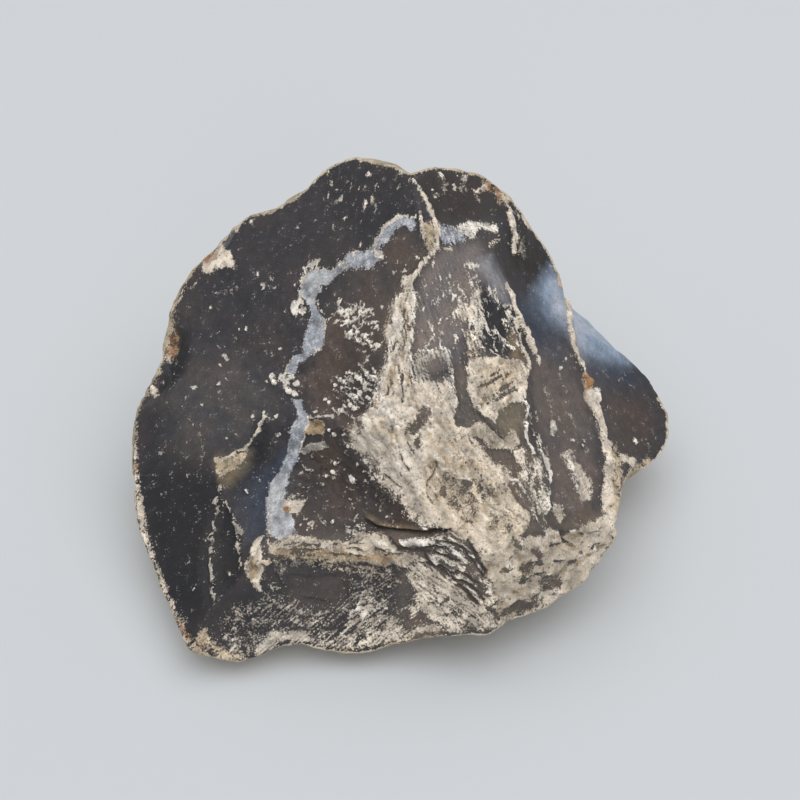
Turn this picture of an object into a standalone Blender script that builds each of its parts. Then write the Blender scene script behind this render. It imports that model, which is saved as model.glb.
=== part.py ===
"""Flint nodule: one broken piece of black flint with its chalky rind on the back and underside.

The stone is made as nature and the hammer made it. The rind is an egg-like body drawn through
stations measured in millimetres. Each flake that was struck off left a shallow dish, and each dish
is cut out of the body in turn. The flat spot that it rests on is cut last.
"""

import math
from collections import namedtuple

import bmesh
import bpy
import numpy as np
from mathutils import Matrix, Vector, noise

NAME = "flint_nodule"
MM = 0.001

# The rind's radius is measured from the heart, a point well inside the stone, in mm.
HEART = np.array((-1.0, -6.0, 21.0))
MERIDIANS = 84
PARALLELS = 52

# Stations of the rind, in mm. The rim is the edge that the broken faces meet it at.
RIM_LEFT = [
    (-63, 8, 21.5), (-62, -3.5, 16.5), (-59.5, -20.5, 11), (-54, -33.5, 8.5),
    (-49.5, -42.5, 7.5), (-46, -50, 6.5),
]
RIM_FOOT = [
    (-40.5, -52.5, 4), (-33, -54, 2), (-30, -52, 3.5), (-28, -50.5, 5), (-22.5, -50, 4.5),
    (-11.5, -51, 3), (-5.5, -50.5, 4), (5.5, -50, 7.5), (20, -51, 10), (31.5, -45, 9.5),
    (40.5, -38.5, 11), (43.5, -35.5, 13), (45.5, -32.5, 15.5), (46, -26.5, 19),
    (48.5, -21, 19.5), (51, -12, 17.5),
]
RIM_LOBE = [
    (57.5, -4.5, 13), (62.5, 3.5, 11.5), (62.5, 9.5, 14), (57, 18, 21), (46.5, 19, 31),
    (39, 23, 34.5), (37.5, 26, 37.5), (38, 13.5, 42),
]
RIM_TOP = [
    (37, 19.5, 45.5), (33.5, 25, 51.5), (26.5, 28, 60.5), (21.5, 32.5, 65.5), (15, 34.5, 68.5),
    (4.5, 31, 71.5), (2, 28.5, 72), (2, 33.5, 67.5), (-1, 31, 71.5), (-5.5, 36, 70.5),
    (-12, 39.5, 68), (-18.5, 42, 65), (-22, 38, 61), (-27, 39, 58.5), (-31.5, 38, 55),
    (-39, 39, 51), (-47.5, 34.5, 43.5), (-53.5, 30, 37.5), (-57, 22, 31.5), (-57.5, 14.5, 28),
    (-60, 10.5, 24.5),
]
BACK = [
    (1, 52.5, 46), (-27, 49.5, 44), (26, 44.5, 38), (-46, 39.5, 28), (45, 32.5, 26),
    (-4, 51.5, 18), (-32, 42.5, 14), (29, 41.5, 16), (-54, 22.5, 15), (55, 16.5, 7),
]
UNDERSIDE = [
    (-1, 35, 5), (-28, 28, 5), (26, 27, 5), (-45, 6, 6), (45, 2, 6.5), (-46, -19, 6),
    (-30, -35, 4), (-1, -37, 4.5), (29, -31, 6.5), (34, -12, 4.5), (-34, -12, 4),
    (-1, 2, -2.5), (-18, 2, -1), (15, 3, -1), (-1, -13, 1), (-14, -12, 2.5), (13, -12, 2),
    (-1, 18, -1.5),
]
# Where the rind stood before the flakes came off. These stations are all cut away.
LOST_CROWN = [
    (-31, -7.5, 68), (-1, -7.5, 80), (29, -7.5, 68), (-1, -41.5, 62), (-51, -17.5, 46),
    (29, -41.5, 46), (51, -11.5, 38), (57, 6.5, 32),
]
STATIONS = RIM_LEFT + RIM_FOOT + RIM_LOBE + RIM_TOP + BACK + UNDERSIDE + LOST_CROWN
SLACK = 0.001

# The rind's knobs, which fade out towards the broken side.
KNOB_SIZE = 15.0
KNOB_HEIGHT = 2.4
BROKEN_SIDE = Vector((0.0, -0.74, 0.67))
KNOB_FADE = 0.4

# A scar is a dish. Its lowest point is at `at` in mm, and it opens towards a compass bearing
# (azimuth, 0 along +X) and an elevation, in degrees. The two radii of its hollow are in mm,
# the first along a level line in the dish that is turned by `turn` degrees. The cutter reaches
# that many mm to each side.
Scar = namedtuple("Scar", "name at azimuth elevation long_radius cross_radius turn reach cells")
SCARS = [
    Scar("great_face", (-27.5, -4.0, 39.2), -145.5, 52.1, 753, 1369, 22, 85, 34),
    Scar("crown_face", (12.0, 20.6, 66.3), -33.4, 64.1, 115, 159, -57, 40, 20),
    Scar("ridge_face", (7.6, -8.1, 52.6), -69.5, 56.3, 122, 105, -14, 45, 24),
    Scar("right_face", (30.7, -4.2, 42.2), -23.6, 43.3, 178, 940, -65, 60, 28),
    Scar("lobe_scar", (48.6, 2.7, 23.8), -13.7, 42.2, 49, 266, -55, 40, 24),
    Scar("chalk_slope", (13.8, -29.1, 36.2), -77.5, 45.6, 186, 69, -5, 40, 22),
    Scar("rough_face", (32.7, -39.2, 19.3), -60.1, 30.2, 480, 347, -7, 40, 20),
    Scar("front_face", (-10.5, -45.3, 13.1), -95.1, 35.3, 100, 47, -24, 40, 24),
    Scar("toe_face", (-34.3, -46.7, 12.5), -86.5, 40.0, 48, 63, 12, 22, 14),
    Scar("ledge", (-6.5, -40.1, 22.6), -100.4, 39.5, 118, 56, -13, 32, 20),
    Scar("thumb_scar", (-11.5, -28.7, 28.9), -114.8, 43.1, 108, 15, -12, 24, 20),
    Scar("blue_scar", (-32.3, -25.9, 24.0), -133.1, 56.8, 38, 59, 48, 20, 14),
    Scar("sliver", (-38.5, -34.6, 17.7), -135.6, 57.0, 43, 80, 48, 20, 14),
    Scar("dark_hollow", (22.0, 0.7, 52.0), -46.5, 49.1, 43, 32, -3, 18, 14),
    Scar("chalk_step", (20.4, -15.2, 44.9), -65.9, 59.1, 61, 48, 5, 16, 12),
    Scar("rim_chip", (-44.5, 33.5, 43.0), 160.0, 50.0, 14, 14, 0, 9, 8),
    Scar("upper_notch", (-52.0, 17.5, 30.0), -175.0, 35.0, 5, 7, 0, 6, 8),
    Scar("lower_notch", (-56.0, 9.0, 25.0), -165.0, 40.0, 5, 8, 0, 5, 8),
    Scar("solution_pit", (33.0, -35.5, 21.0), -60.0, 30.0, 1.5, 1.5, 0, 2.5, 6),
]
CUTTER_DEPTH = 90.0
FOOT_SIZE = 200.0

SHARP_ANGLE = math.radians(16)


def new_collection(name, hidden=False):
    collection = bpy.data.collections.new(name)
    bpy.context.scene.collection.children.link(collection)
    collection.hide_render = hidden
    return collection


def new_object(name, bm, collection, material):
    mesh = bpy.data.meshes.new(name)
    bm.to_mesh(mesh)
    bm.free()
    mesh.materials.append(material)
    obj = bpy.data.objects.new(name, mesh)
    collection.objects.link(obj)
    return obj


def new_material(name, colour, roughness):
    material = bpy.data.materials.new(name)
    material.use_nodes = True
    shader = material.node_tree.nodes["Principled BSDF"]
    shader.inputs["Base Color"].default_value = (*colour, 1.0)
    shader.inputs["Roughness"].default_value = roughness
    shader.inputs["Metallic"].default_value = 0.0
    material.diffuse_color = (*colour, 1.0)
    return material


def chord_cubes(directions, centres):
    return np.linalg.norm(directions[:, None] - centres[None], axis=2) ** 3


def fitted_rind():
    """The weights of the smoothest radius, over all directions, that passes through every station."""
    arms = np.array(STATIONS, float) - HEART
    radii = np.linalg.norm(arms, axis=1)
    centres = arms / radii[:, None]
    count = len(radii)
    plain = np.c_[np.ones(count), centres]
    system = np.block(
        [
            [chord_cubes(centres, centres) + SLACK * np.eye(count), plain],
            [plain.T, np.zeros((4, 4))],
        ]
    )
    return centres, np.linalg.solve(system, np.r_[radii, np.zeros(4)])


def rind_radius(directions):
    centres, weights = fitted_rind()
    plain = np.c_[np.ones(len(directions)), directions]
    return chord_cubes(directions, centres) @ weights[:-4] + plain @ weights[-4:]


def knob(direction, radius):
    """How far the rind swells or sinks there, in mm."""
    share = min(max(-direction.dot(BROKEN_SIDE) / KNOB_FADE, 0.0), 1.0)
    return KNOB_HEIGHT * share * noise.noise(direction * (radius / KNOB_SIZE))


def rind_body(collection, material):
    bm = bmesh.new()
    bmesh.ops.create_uvsphere(bm, u_segments=MERIDIANS, v_segments=PARALLELS, radius=1.0)
    bmesh.ops.triangulate(bm, faces=bm.faces[:])
    directions = np.array([v.co.normalized() for v in bm.verts])
    for vert, direction, radius in zip(bm.verts, directions, rind_radius(directions)):
        way = Vector(direction)
        vert.co = (Vector(HEART) + way * (radius + knob(way, radius))) * MM
    return new_object(NAME, bm, collection, material)


def facing(scar):
    """The turn that takes the dish's own axes (along, across, out of the stone) to the world's."""
    bearing, rise = math.radians(scar.azimuth), math.radians(scar.elevation)
    out = Vector((math.cos(rise) * math.cos(bearing), math.cos(rise) * math.sin(bearing), math.sin(rise)))
    level = Vector((-math.sin(bearing), math.cos(bearing), 0.0))
    along = Matrix.Rotation(math.radians(scar.turn), 3, out) @ level
    return Matrix((along, out.cross(along), out)).transposed().to_4x4()


def flake_cutter(scar, collection, material):
    """A block whose underside is the scar's dish."""
    bm = bmesh.new()
    bmesh.ops.create_grid(bm, x_segments=scar.cells, y_segments=scar.cells, size=scar.reach)
    for vert in bm.verts:
        vert.co.z = vert.co.x**2 / (2 * scar.long_radius) + vert.co.y**2 / (2 * scar.cross_radius)
    bmesh.ops.triangulate(bm, faces=bm.faces[:])
    raised = bmesh.ops.extrude_face_region(bm, geom=bm.faces[:])["geom"]
    for vert in (part for part in raised if isinstance(part, bmesh.types.BMVert)):
        vert.co.z += CUTTER_DEPTH
    bmesh.ops.recalc_face_normals(bm, faces=bm.faces[:])
    bm.transform(Matrix.Scale(MM, 4))
    cutter = new_object(scar.name, bm, collection, material)
    cutter.matrix_world = Matrix.Translation(Vector(scar.at) * MM) @ facing(scar)
    return cutter


def foot_cutter(collection, material):
    """A block whose top is the surface that the stone rests on."""
    bm = bmesh.new()
    bmesh.ops.create_cube(bm, size=FOOT_SIZE * MM)
    foot = new_object("foot", bm, collection, material)
    foot.location.z = -FOOT_SIZE * MM / 2
    return foot


def cut(stone, cutter):
    cutter.hide_render = True
    cutter.display_type = "WIRE"
    boolean = stone.modifiers.new(cutter.name, "BOOLEAN")
    boolean.operation = "DIFFERENCE"
    boolean.solver = "EXACT"
    boolean.material_mode = "TRANSFER"
    boolean.object = cutter


def settle(stone):
    """Takes the finished cuts into the mesh, and keeps the edges between the scars sharp."""
    bpy.context.view_layer.update()
    graph = bpy.context.evaluated_depsgraph_get()
    stone.data = bpy.data.meshes.new_from_object(stone.evaluated_get(graph))
    stone.modifiers.clear()
    stone.data.name = NAME
    stone.data.shade_smooth()
    stone.data.set_sharp_from_angle(angle=SHARP_ANGLE)


for old in list(bpy.data.objects):
    bpy.data.objects.remove(old, do_unlink=True)

stone_collection = new_collection(NAME)
cutter_collection = new_collection("cutters", hidden=True)
rind_chalk = new_material("chalky rind", (0.53, 0.45, 0.36), 0.9)
black_flint = new_material("black flint", (0.045, 0.042, 0.042), 0.35)

nodule = rind_body(stone_collection, rind_chalk)
for flake in SCARS:
    cut(nodule, flake_cutter(flake, cutter_collection, black_flint))
cut(nodule, foot_cutter(cutter_collection, rind_chalk))
settle(nodule)
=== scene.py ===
"""A broken flint nodule on a pale table: black glassy flake scars, chalk dust and a chalky rind."""

import math
from collections import namedtuple

import bmesh
import bpy
import numpy as np
from mathutils import Matrix, Vector, noise


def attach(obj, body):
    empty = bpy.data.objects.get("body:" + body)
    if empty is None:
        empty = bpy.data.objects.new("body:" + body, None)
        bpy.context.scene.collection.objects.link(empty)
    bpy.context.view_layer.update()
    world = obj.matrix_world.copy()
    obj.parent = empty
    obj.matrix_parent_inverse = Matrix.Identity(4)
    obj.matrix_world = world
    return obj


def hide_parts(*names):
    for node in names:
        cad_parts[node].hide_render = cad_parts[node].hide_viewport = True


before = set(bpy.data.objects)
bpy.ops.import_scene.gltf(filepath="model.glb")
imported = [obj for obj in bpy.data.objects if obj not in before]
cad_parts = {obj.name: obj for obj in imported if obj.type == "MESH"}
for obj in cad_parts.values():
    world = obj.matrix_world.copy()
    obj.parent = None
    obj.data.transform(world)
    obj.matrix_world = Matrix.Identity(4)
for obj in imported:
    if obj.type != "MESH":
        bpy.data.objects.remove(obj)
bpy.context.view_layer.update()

MM = 0.001

# The viewpoint.
# The stone is looked down on from the front, as a hand specimen is on a sorting table. The marks on
# its broken side are placed by where they are seen from here, in a frame 800 units wide.
EYE = np.array((-1.0, -256.56, 260.03))
LOOK_DOWN = math.radians(42)
LENS = 68.0
SENSOR = 36.0
FRAME_WIDE = 800

camera_data = bpy.data.cameras.new("viewpoint")
camera_data.lens = LENS
camera_data.sensor_width = SENSOR
camera_data.clip_start = 0.01
camera = bpy.data.objects.new("viewpoint", camera_data)
camera.location = Vector(EYE) * MM
camera.rotation_euler = (math.pi / 2 - LOOK_DOWN, 0.0, 0.0)
bpy.context.scene.collection.objects.link(camera)
bpy.context.scene.camera = camera


def seen_at(points):
    """Where points in mm are seen in the frame: across and down, in its own units."""
    forward = np.array((0.0, math.cos(LOOK_DOWN), -math.sin(LOOK_DOWN)))
    upward = np.array((0.0, math.sin(LOOK_DOWN), math.cos(LOOK_DOWN)))
    arms = points - EYE
    reach = LENS / SENSOR * FRAME_WIDE / (arms @ forward)
    middle = FRAME_WIDE / 2
    return np.c_[middle + arms[:, 0] * reach, middle - (arms @ upward) * reach]


# The nodule's form.
# Flint grew as a rounded lump in chalk, with a chalky rind. The lump was then struck, and each flake
# that came off left a shallow dish. Sizes are in mm, and radii are measured from the stone's heart.
HEART = np.array((-1.0, -6.0, 21.0))
RIM_LEFT = [
    (-63, 8, 21.5), (-62, -3.5, 16.5), (-59.5, -20.5, 11), (-54, -33.5, 8.5),
    (-49.5, -42.5, 7.5), (-46, -50, 6.5),
]
RIM_FOOT = [
    (-40.5, -52.5, 4), (-33, -54, 2), (-30, -52, 3.5), (-28, -50.5, 5), (-22.5, -50, 4.5),
    (-11.5, -51, 3), (-5.5, -50.5, 4), (5.5, -50, 7.5), (20, -51, 10), (31.5, -45, 9.5),
    (40.5, -38.5, 11), (43.5, -35.5, 13), (45.5, -32.5, 15.5), (46, -26.5, 19),
    (48.5, -21, 19.5), (51, -12, 17.5),
]
RIM_LOBE = [
    (57.5, -4.5, 13), (62.5, 3.5, 11.5), (62.5, 9.5, 14), (57, 18, 21), (46.5, 19, 31),
    (39, 23, 34.5), (37.5, 26, 37.5), (38, 13.5, 42),
]
RIM_TOP = [
    (37, 19.5, 45.5), (33.5, 25, 51.5), (26.5, 28, 60.5), (21.5, 32.5, 65.5), (15, 34.5, 68.5),
    (4.5, 31, 71.5), (2, 28.5, 72), (2, 33.5, 67.5), (-1, 31, 71.5), (-5.5, 36, 70.5),
    (-12, 39.5, 68), (-18.5, 42, 65), (-22, 38, 61), (-27, 39, 58.5), (-31.5, 38, 55),
    (-39, 39, 51), (-47.5, 34.5, 43.5), (-53.5, 30, 37.5), (-57, 22, 31.5), (-57.5, 14.5, 28),
    (-60, 10.5, 24.5),
]
BACK = [
    (1, 52.5, 46), (-27, 49.5, 44), (26, 44.5, 38), (-46, 39.5, 28), (45, 32.5, 26),
    (-4, 51.5, 18), (-32, 42.5, 14), (29, 41.5, 16), (-54, 22.5, 15), (55, 16.5, 7),
]
UNDERSIDE = [
    (-1, 35, 5), (-28, 28, 5), (26, 27, 5), (-45, 6, 6), (45, 2, 6.5), (-46, -19, 6),
    (-30, -35, 4), (-1, -37, 4.5), (29, -31, 6.5), (34, -12, 4.5), (-34, -12, 4),
    (-1, 2, -2.5), (-18, 2, -1), (15, 3, -1), (-1, -13, 1), (-14, -12, 2.5), (13, -12, 2),
    (-1, 18, -1.5),
]
LOST_CROWN = [
    (-31, -7.5, 68), (-1, -7.5, 80), (29, -7.5, 68), (-1, -41.5, 62), (-51, -17.5, 46),
    (29, -41.5, 46), (51, -11.5, 38), (57, 6.5, 32),
]
STATIONS = RIM_LEFT + RIM_FOOT + RIM_LOBE + RIM_TOP + BACK + UNDERSIDE + LOST_CROWN

# How freely the rind runs between its stations, and the low knobs on it, which fade out towards the
# broken side. The waver makes the ridges ragged, and each scar's waver is drawn apart from the next.
SLACK = 0.001
KNOB_SIZE = 15.0
KNOB_HEIGHT = 2.4
BROKEN_SIDE = np.array((0.0, -0.74, 0.67))
KNOB_FADE = 0.4
WAVER = 0.4
WAVER_BALL = 40.0
WAVER_SIZE = 4.5
WAVERS_APART = 50.0
RIND_WAVER = 1.3
FINER_GRAIN = 2.1
FAINTER_GRAIN = 0.8

Scar = namedtuple("Scar", "name at azimuth elevation long_radius cross_radius turn")
SCARS = [
    Scar("great_face", (-27.5, -4.0, 39.2), -145.5, 52.1, 753, 1369, 22),
    Scar("crown_face", (12.0, 20.6, 66.3), -33.4, 64.1, 115, 159, -57),
    Scar("ridge_face", (7.6, -8.1, 52.6), -69.5, 56.3, 122, 105, -14),
    Scar("right_face", (30.7, -4.2, 42.2), -23.6, 43.3, 178, 940, -65),
    Scar("lobe_scar", (48.6, 2.7, 23.8), -13.7, 42.2, 49, 266, -55),
    Scar("chalk_slope", (13.8, -29.1, 36.2), -77.5, 45.6, 186, 69, -5),
    Scar("rough_face", (32.7, -39.2, 19.3), -60.1, 30.2, 480, 347, -7),
    Scar("front_face", (-10.5, -45.3, 13.1), -95.1, 35.3, 100, 47, -24),
    Scar("toe_face", (-34.3, -46.7, 12.5), -86.5, 40.0, 48, 63, 12),
    Scar("ledge", (-6.5, -40.1, 22.6), -100.4, 39.5, 118, 56, -13),
    Scar("thumb_scar", (-11.5, -28.7, 28.9), -114.8, 43.1, 108, 15, -12),
    Scar("blue_scar", (-32.3, -25.9, 24.0), -133.1, 56.8, 38, 59, 48),
    Scar("sliver", (-38.5, -34.6, 17.7), -135.6, 57.0, 43, 80, 48),
    Scar("dark_hollow", (22.0, 0.7, 52.0), -46.5, 49.1, 43, 32, -3),
    Scar("chalk_step", (20.4, -15.2, 44.9), -65.9, 59.1, 61, 48, 5),
    Scar("rim_chip", (-45.2, 33.8, 43.9), 160.0, 50.0, 14, 14, 0),
    Scar("upper_notch", (-52.0, 17.5, 30.0), -175.0, 35.0, 5, 7, 0),
    Scar("lower_notch", (-56.0, 9.0, 25.0), -165.0, 40.0, 5, 8, 0),
    Scar("solution_pit", (33.0, -35.5, 21.0), -60.0, 30.0, 1.5, 1.5, 0),
]


def chord_cubes(directions, centres):
    return np.maximum(2 - 2 * directions @ centres.T, 0) ** 1.5


arms = np.array(STATIONS, float) - HEART
station_radii = np.linalg.norm(arms, axis=1)
centres = arms / station_radii[:, None]
plain = np.c_[np.ones(len(centres)), centres]
system = np.block(
    [
        [chord_cubes(centres, centres) + SLACK * np.eye(len(centres)), plain],
        [plain.T, np.zeros((4, 4))],
    ]
)
weights = np.linalg.solve(system, np.r_[station_radii, np.zeros(4)])


def noise_at(points, size, octaves=1):
    """Smooth noise between about -1 and 1, whose features are `size` mm wide."""
    scaled = (points / size).tolist()
    if octaves == 1:
        return np.array([noise.noise(p) for p in scaled])
    return np.array([noise.fractal(p, FAINTER_GRAIN, FINER_GRAIN, octaves) for p in scaled])


def rind_radius(directions):
    smooth = chord_cubes(directions, centres) @ weights[:-4]
    smooth += np.c_[np.ones(len(directions)), directions] @ weights[-4:]
    share = np.clip(-directions @ BROKEN_SIDE / KNOB_FADE, 0, 1)
    return smooth + KNOB_HEIGHT * share * noise_at(directions * smooth[:, None], KNOB_SIZE)


def dish_axes(scar):
    """The dish's own axes as rows: along, across, and out of the stone."""
    bearing, rise = math.radians(scar.azimuth), math.radians(scar.elevation)
    level_run = math.cos(rise)
    out = Vector((level_run * math.cos(bearing), level_run * math.sin(bearing), math.sin(rise)))
    level = Vector((-math.sin(bearing), math.cos(bearing), 0.0))
    along = Matrix.Rotation(math.radians(scar.turn), 3, out) @ level
    return np.array((along, out.cross(along), out))


def dish_radius(directions, scar):
    """How far a ray from the heart runs before it comes out through the scar's dish."""
    axes = dish_axes(scar)
    start = axes @ (HEART - np.array(scar.at))
    way = directions @ axes.T
    spread = np.array((scar.long_radius, scar.cross_radius), float)
    square = -(way[:, :2] ** 2 / spread).sum(1) / 2
    slope = way[:, 2] - (way[:, :2] * start[:2] / spread).sum(1)
    height = start[2] - (start[:2] ** 2 / spread).sum() / 2
    room = slope**2 - 4 * square * height
    with np.errstate(divide="ignore", invalid="ignore"):
        run = -2 * height / (slope + np.sqrt(np.maximum(room, 0)))
    return np.where((room > 0) & (slope > 0), run, np.inf)


def table_radius(directions):
    """The same for the flat spot that the stone rests on."""
    with np.errstate(divide="ignore"):
        return np.where(directions[:, 2] < 0, -HEART[2] / directions[:, 2], np.inf)


def all_radii(directions, waver=0.0):
    """One row for the rind, one for the table, and one for each scar. A waver makes the ridges ragged."""
    rows = [rind_radius(directions), table_radius(directions)]
    rows = np.array(rows + [dish_radius(directions, scar) for scar in SCARS])
    if waver:
        shifts = [
            waver * noise_at(directions * WAVER_BALL + WAVERS_APART * k, WAVER_SIZE, 2) for k in range(4)
        ]
        rows[0] += RIND_WAVER * shifts[3]
        for row in range(2, len(rows)):
            rows[row] += shifts[row % 3]
    return rows


# The nodule's skin of faces.
# A cube's grid is blown up into an egg about as big as the stone, with its cells closest together on
# the broken side. Each corner then slides until the cells are even, and runs out from the heart to the
# nearest of the rind and the scars. Corners beside a ridge move onto it, so every ridge is crisp.
COARSE_CELLS = 32
FINER = 4
CROWDING = 0.62
CROWDED = Vector((0.1, -0.97, 0.2))
EGG_MIDDLE = np.array((0.0, 0.0, 26.0))
EGG_HALVES = np.array((62.0, 50.0, 40.0))
EVENING_STEPS = 120
FRONT = np.array((0.0, -0.8, 0.6))
FRONT_PULL = 2.5

# A corner slides onto a ridge by half a cell at most, where the next surface is less than 6 mm behind
# the nearest. The nudge is how far aside the slope is felt, and the askew way is along no corner's.
ASKEW = (0.3, 0.5, 0.81)
NUDGE = 1e-4
RIDGE_REACH = 6.0
CELL_SHARE = 0.5
UNFOLDINGS = 4
FOLDED_BELOW = 1e-7


def unit(vectors):
    return vectors / np.maximum(np.linalg.norm(vectors, axis=1), 1e-12)[:, None]


def crowded(ball):
    """The ball's points, drawn together towards the crowded side."""
    turn = np.array(CROWDED.normalized().to_track_quat("Z", "Y").to_matrix())
    half_turn = CROWDING * np.sqrt((1 - ball[:, 2]) / np.maximum(1 + ball[:, 2], 1e-9))
    lean = (1 - half_turn**2) / (1 + half_turn**2)
    return np.c_[unit(ball[:, :2]) * np.sqrt(np.maximum(1 - lean**2, 0))[:, None], lean] @ turn.T


def pairs_of(quads):
    """Every edge once, as the numbers of its first and second corners."""
    pairs = np.vstack([quads[:, [i, (i + 1) % 4]] for i in range(4)])
    return np.unique(np.sort(pairs, axis=1), axis=0).T


def evened(ways, quads):
    """Slides each corner towards the middle of its neighbours, more strongly on the front."""
    first, second = pairs_of(quads)
    for _ in range(EVENING_STEPS):
        skin = ways * all_radii(ways).min(0)[:, None]
        pull = 1 + FRONT_PULL * np.clip(unit(skin[first] + skin[second]) @ FRONT + 0.5, 0, 1)
        total = np.bincount(first, pull, len(ways)) + np.bincount(second, pull, len(ways))
        drawn = [
            np.bincount(first, pull * axis[second], len(ways))
            + np.bincount(second, pull * axis[first], len(ways))
            for axis in skin.T
        ]
        ways = unit(np.array(drawn).T / total[:, None])
    return ways


def onto_ridges(ways, quads, steps=3):
    """Moves each corner that is within half a cell of a ridge or a valley onto it."""
    first, second = pairs_of(quads)
    gap = np.linalg.norm(ways[first] - ways[second], axis=1)
    gaps_round = np.bincount(first, gap, len(ways)) + np.bincount(second, gap, len(ways))
    cell = gaps_round / np.bincount(np.r_[first, second], minlength=len(ways))
    start = ways
    for _ in range(steps):
        radii = all_radii(ways, WAVER)
        nearest, next_nearest = np.argsort(radii, axis=0)[:2]
        rows = np.arange(len(ways))
        between = radii[next_nearest, rows] - radii[nearest, rows]
        near = np.isfinite(between) & (between < RIDGE_REACH)
        some = ways[near]
        level = unit(np.cross(some, ASKEW))
        across = np.cross(some, level)
        slopes = []
        for side in (level, across):
            moved = all_radii(unit(some + NUDGE * side), WAVER)
            columns = np.arange(len(some))
            change = moved[next_nearest[near], columns] - moved[nearest[near], columns]
            slopes.append((change - between[near]) / NUDGE)
        steep = slopes[0] ** 2 + slopes[1] ** 2
        downhill = slopes[0][:, None] * level + slopes[1][:, None] * across
        with np.errstate(invalid="ignore", divide="ignore"):
            shift = -(between[near] / steep)[:, None] * downhill
        target = unit(some + np.nan_to_num(shift))
        travel = np.linalg.norm(target - start[near], axis=1)
        good = travel < CELL_SHARE * cell[near]
        ways = ways.copy()
        ways[np.flatnonzero(near)[good]] = target[good]
    return ways


bm = bmesh.new()
bmesh.ops.create_cube(bm, size=2.0)
bmesh.ops.subdivide_edges(bm, edges=bm.edges[:], cuts=COARSE_CELLS - 1, use_grid_fill=True)
bm.verts.index_update()
ball = crowded(unit(np.tan(np.array([v.co for v in bm.verts]) * math.pi / 4)))
ways = unit(EGG_MIDDLE + ball * EGG_HALVES - HEART)
coarse_quads = np.array([[v.index for v in f.verts] for f in bm.faces])
for vert, way in zip(bm.verts, evened(ways, coarse_quads)):
    vert.co = way
bmesh.ops.subdivide_edges(bm, edges=bm.edges[:], cuts=FINER - 1, use_grid_fill=True)
bm.verts.index_update()
quads = np.array([[v.index for v in f.verts] for f in bm.faces])
before = unit(np.array([v.co for v in bm.verts]))
bm.free()
ways = onto_ridges(before, quads)

# Where the slide has folded a cell over, its corners go back.
for _ in range(UNFOLDINGS):
    corners = ways[quads]
    turned = []
    for i in range(4):
        corner = corners[:, i]
        square = np.cross(corners[:, (i + 1) % 4] - corner, corners[:, i - 1] - corner)
        turned.append(np.einsum("ij,ij->i", square, corner))
    folded = (np.array(turned) * np.sign(np.median(turned)) <= FOLDED_BELOW).any(0)
    ways[quads[folded]] = before[quads[folded]]

# Each four-sided cell is split along the diagonal that lies closer to the stone.
middles = unit(ways[quads].sum(1))
true_radius = all_radii(middles, WAVER).min(0)
radii = all_radii(ways, WAVER)
skin = ways * radii.min(0)[:, None]
missed = [
    np.abs(np.linalg.norm(skin[quads[:, i]] + skin[quads[:, i + 2]], axis=1) / 2 - true_radius)
    for i in (0, 1)
]
split = (missed[1] < missed[0]).astype(int)
rolled = np.where(split[:, None] == 1, np.roll(quads, -1, axis=1), quads)
triangles = np.vstack([rolled[:, [0, 1, 2]], rolled[:, [0, 2, 3]]])

# The marks on the broken side.
# Under the dust the flint is black, brown or milky, and over it lie chalk dust and crusts from white to
# tan. Some marks are painted light instead: painted sheen, shade, shadow and glints, each noted where it
# stands. A mark is an outline in the viewpoint's frame, or a line where its first distance is above zero:
# its tone, the share it covers, how far off it is full and gone, and its points. A patch has no tone.
TONES = {
    "flint": "#373336", "painted_sheen": "#4a4748", "night": "#151519", "smoke": "#242226", "brown": "#4e4541",
    "umber": "#251c18", "bark": "#423833", "dusty": "#746c69", "grey": "#5f5753", "olive": "#7d7058",
    "milk": "#b4b8c1", "pale milk": "#cfd0d4", "blue": "#9fadc0", "deep blue": "#363e4d", "white": "#faf3e8",
    "cream": "#efe1cf", "sand": "#d0bc9f", "tan": "#b09878", "rust": "#a4774f", "ash": "#b3ada4",
    "under": "#625951", "putty": "#d2c4b1",
}
Mark = namedtuple("Mark", "tone share full gone points")
Patch = namedtuple("Patch", "share full gone points")

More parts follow.
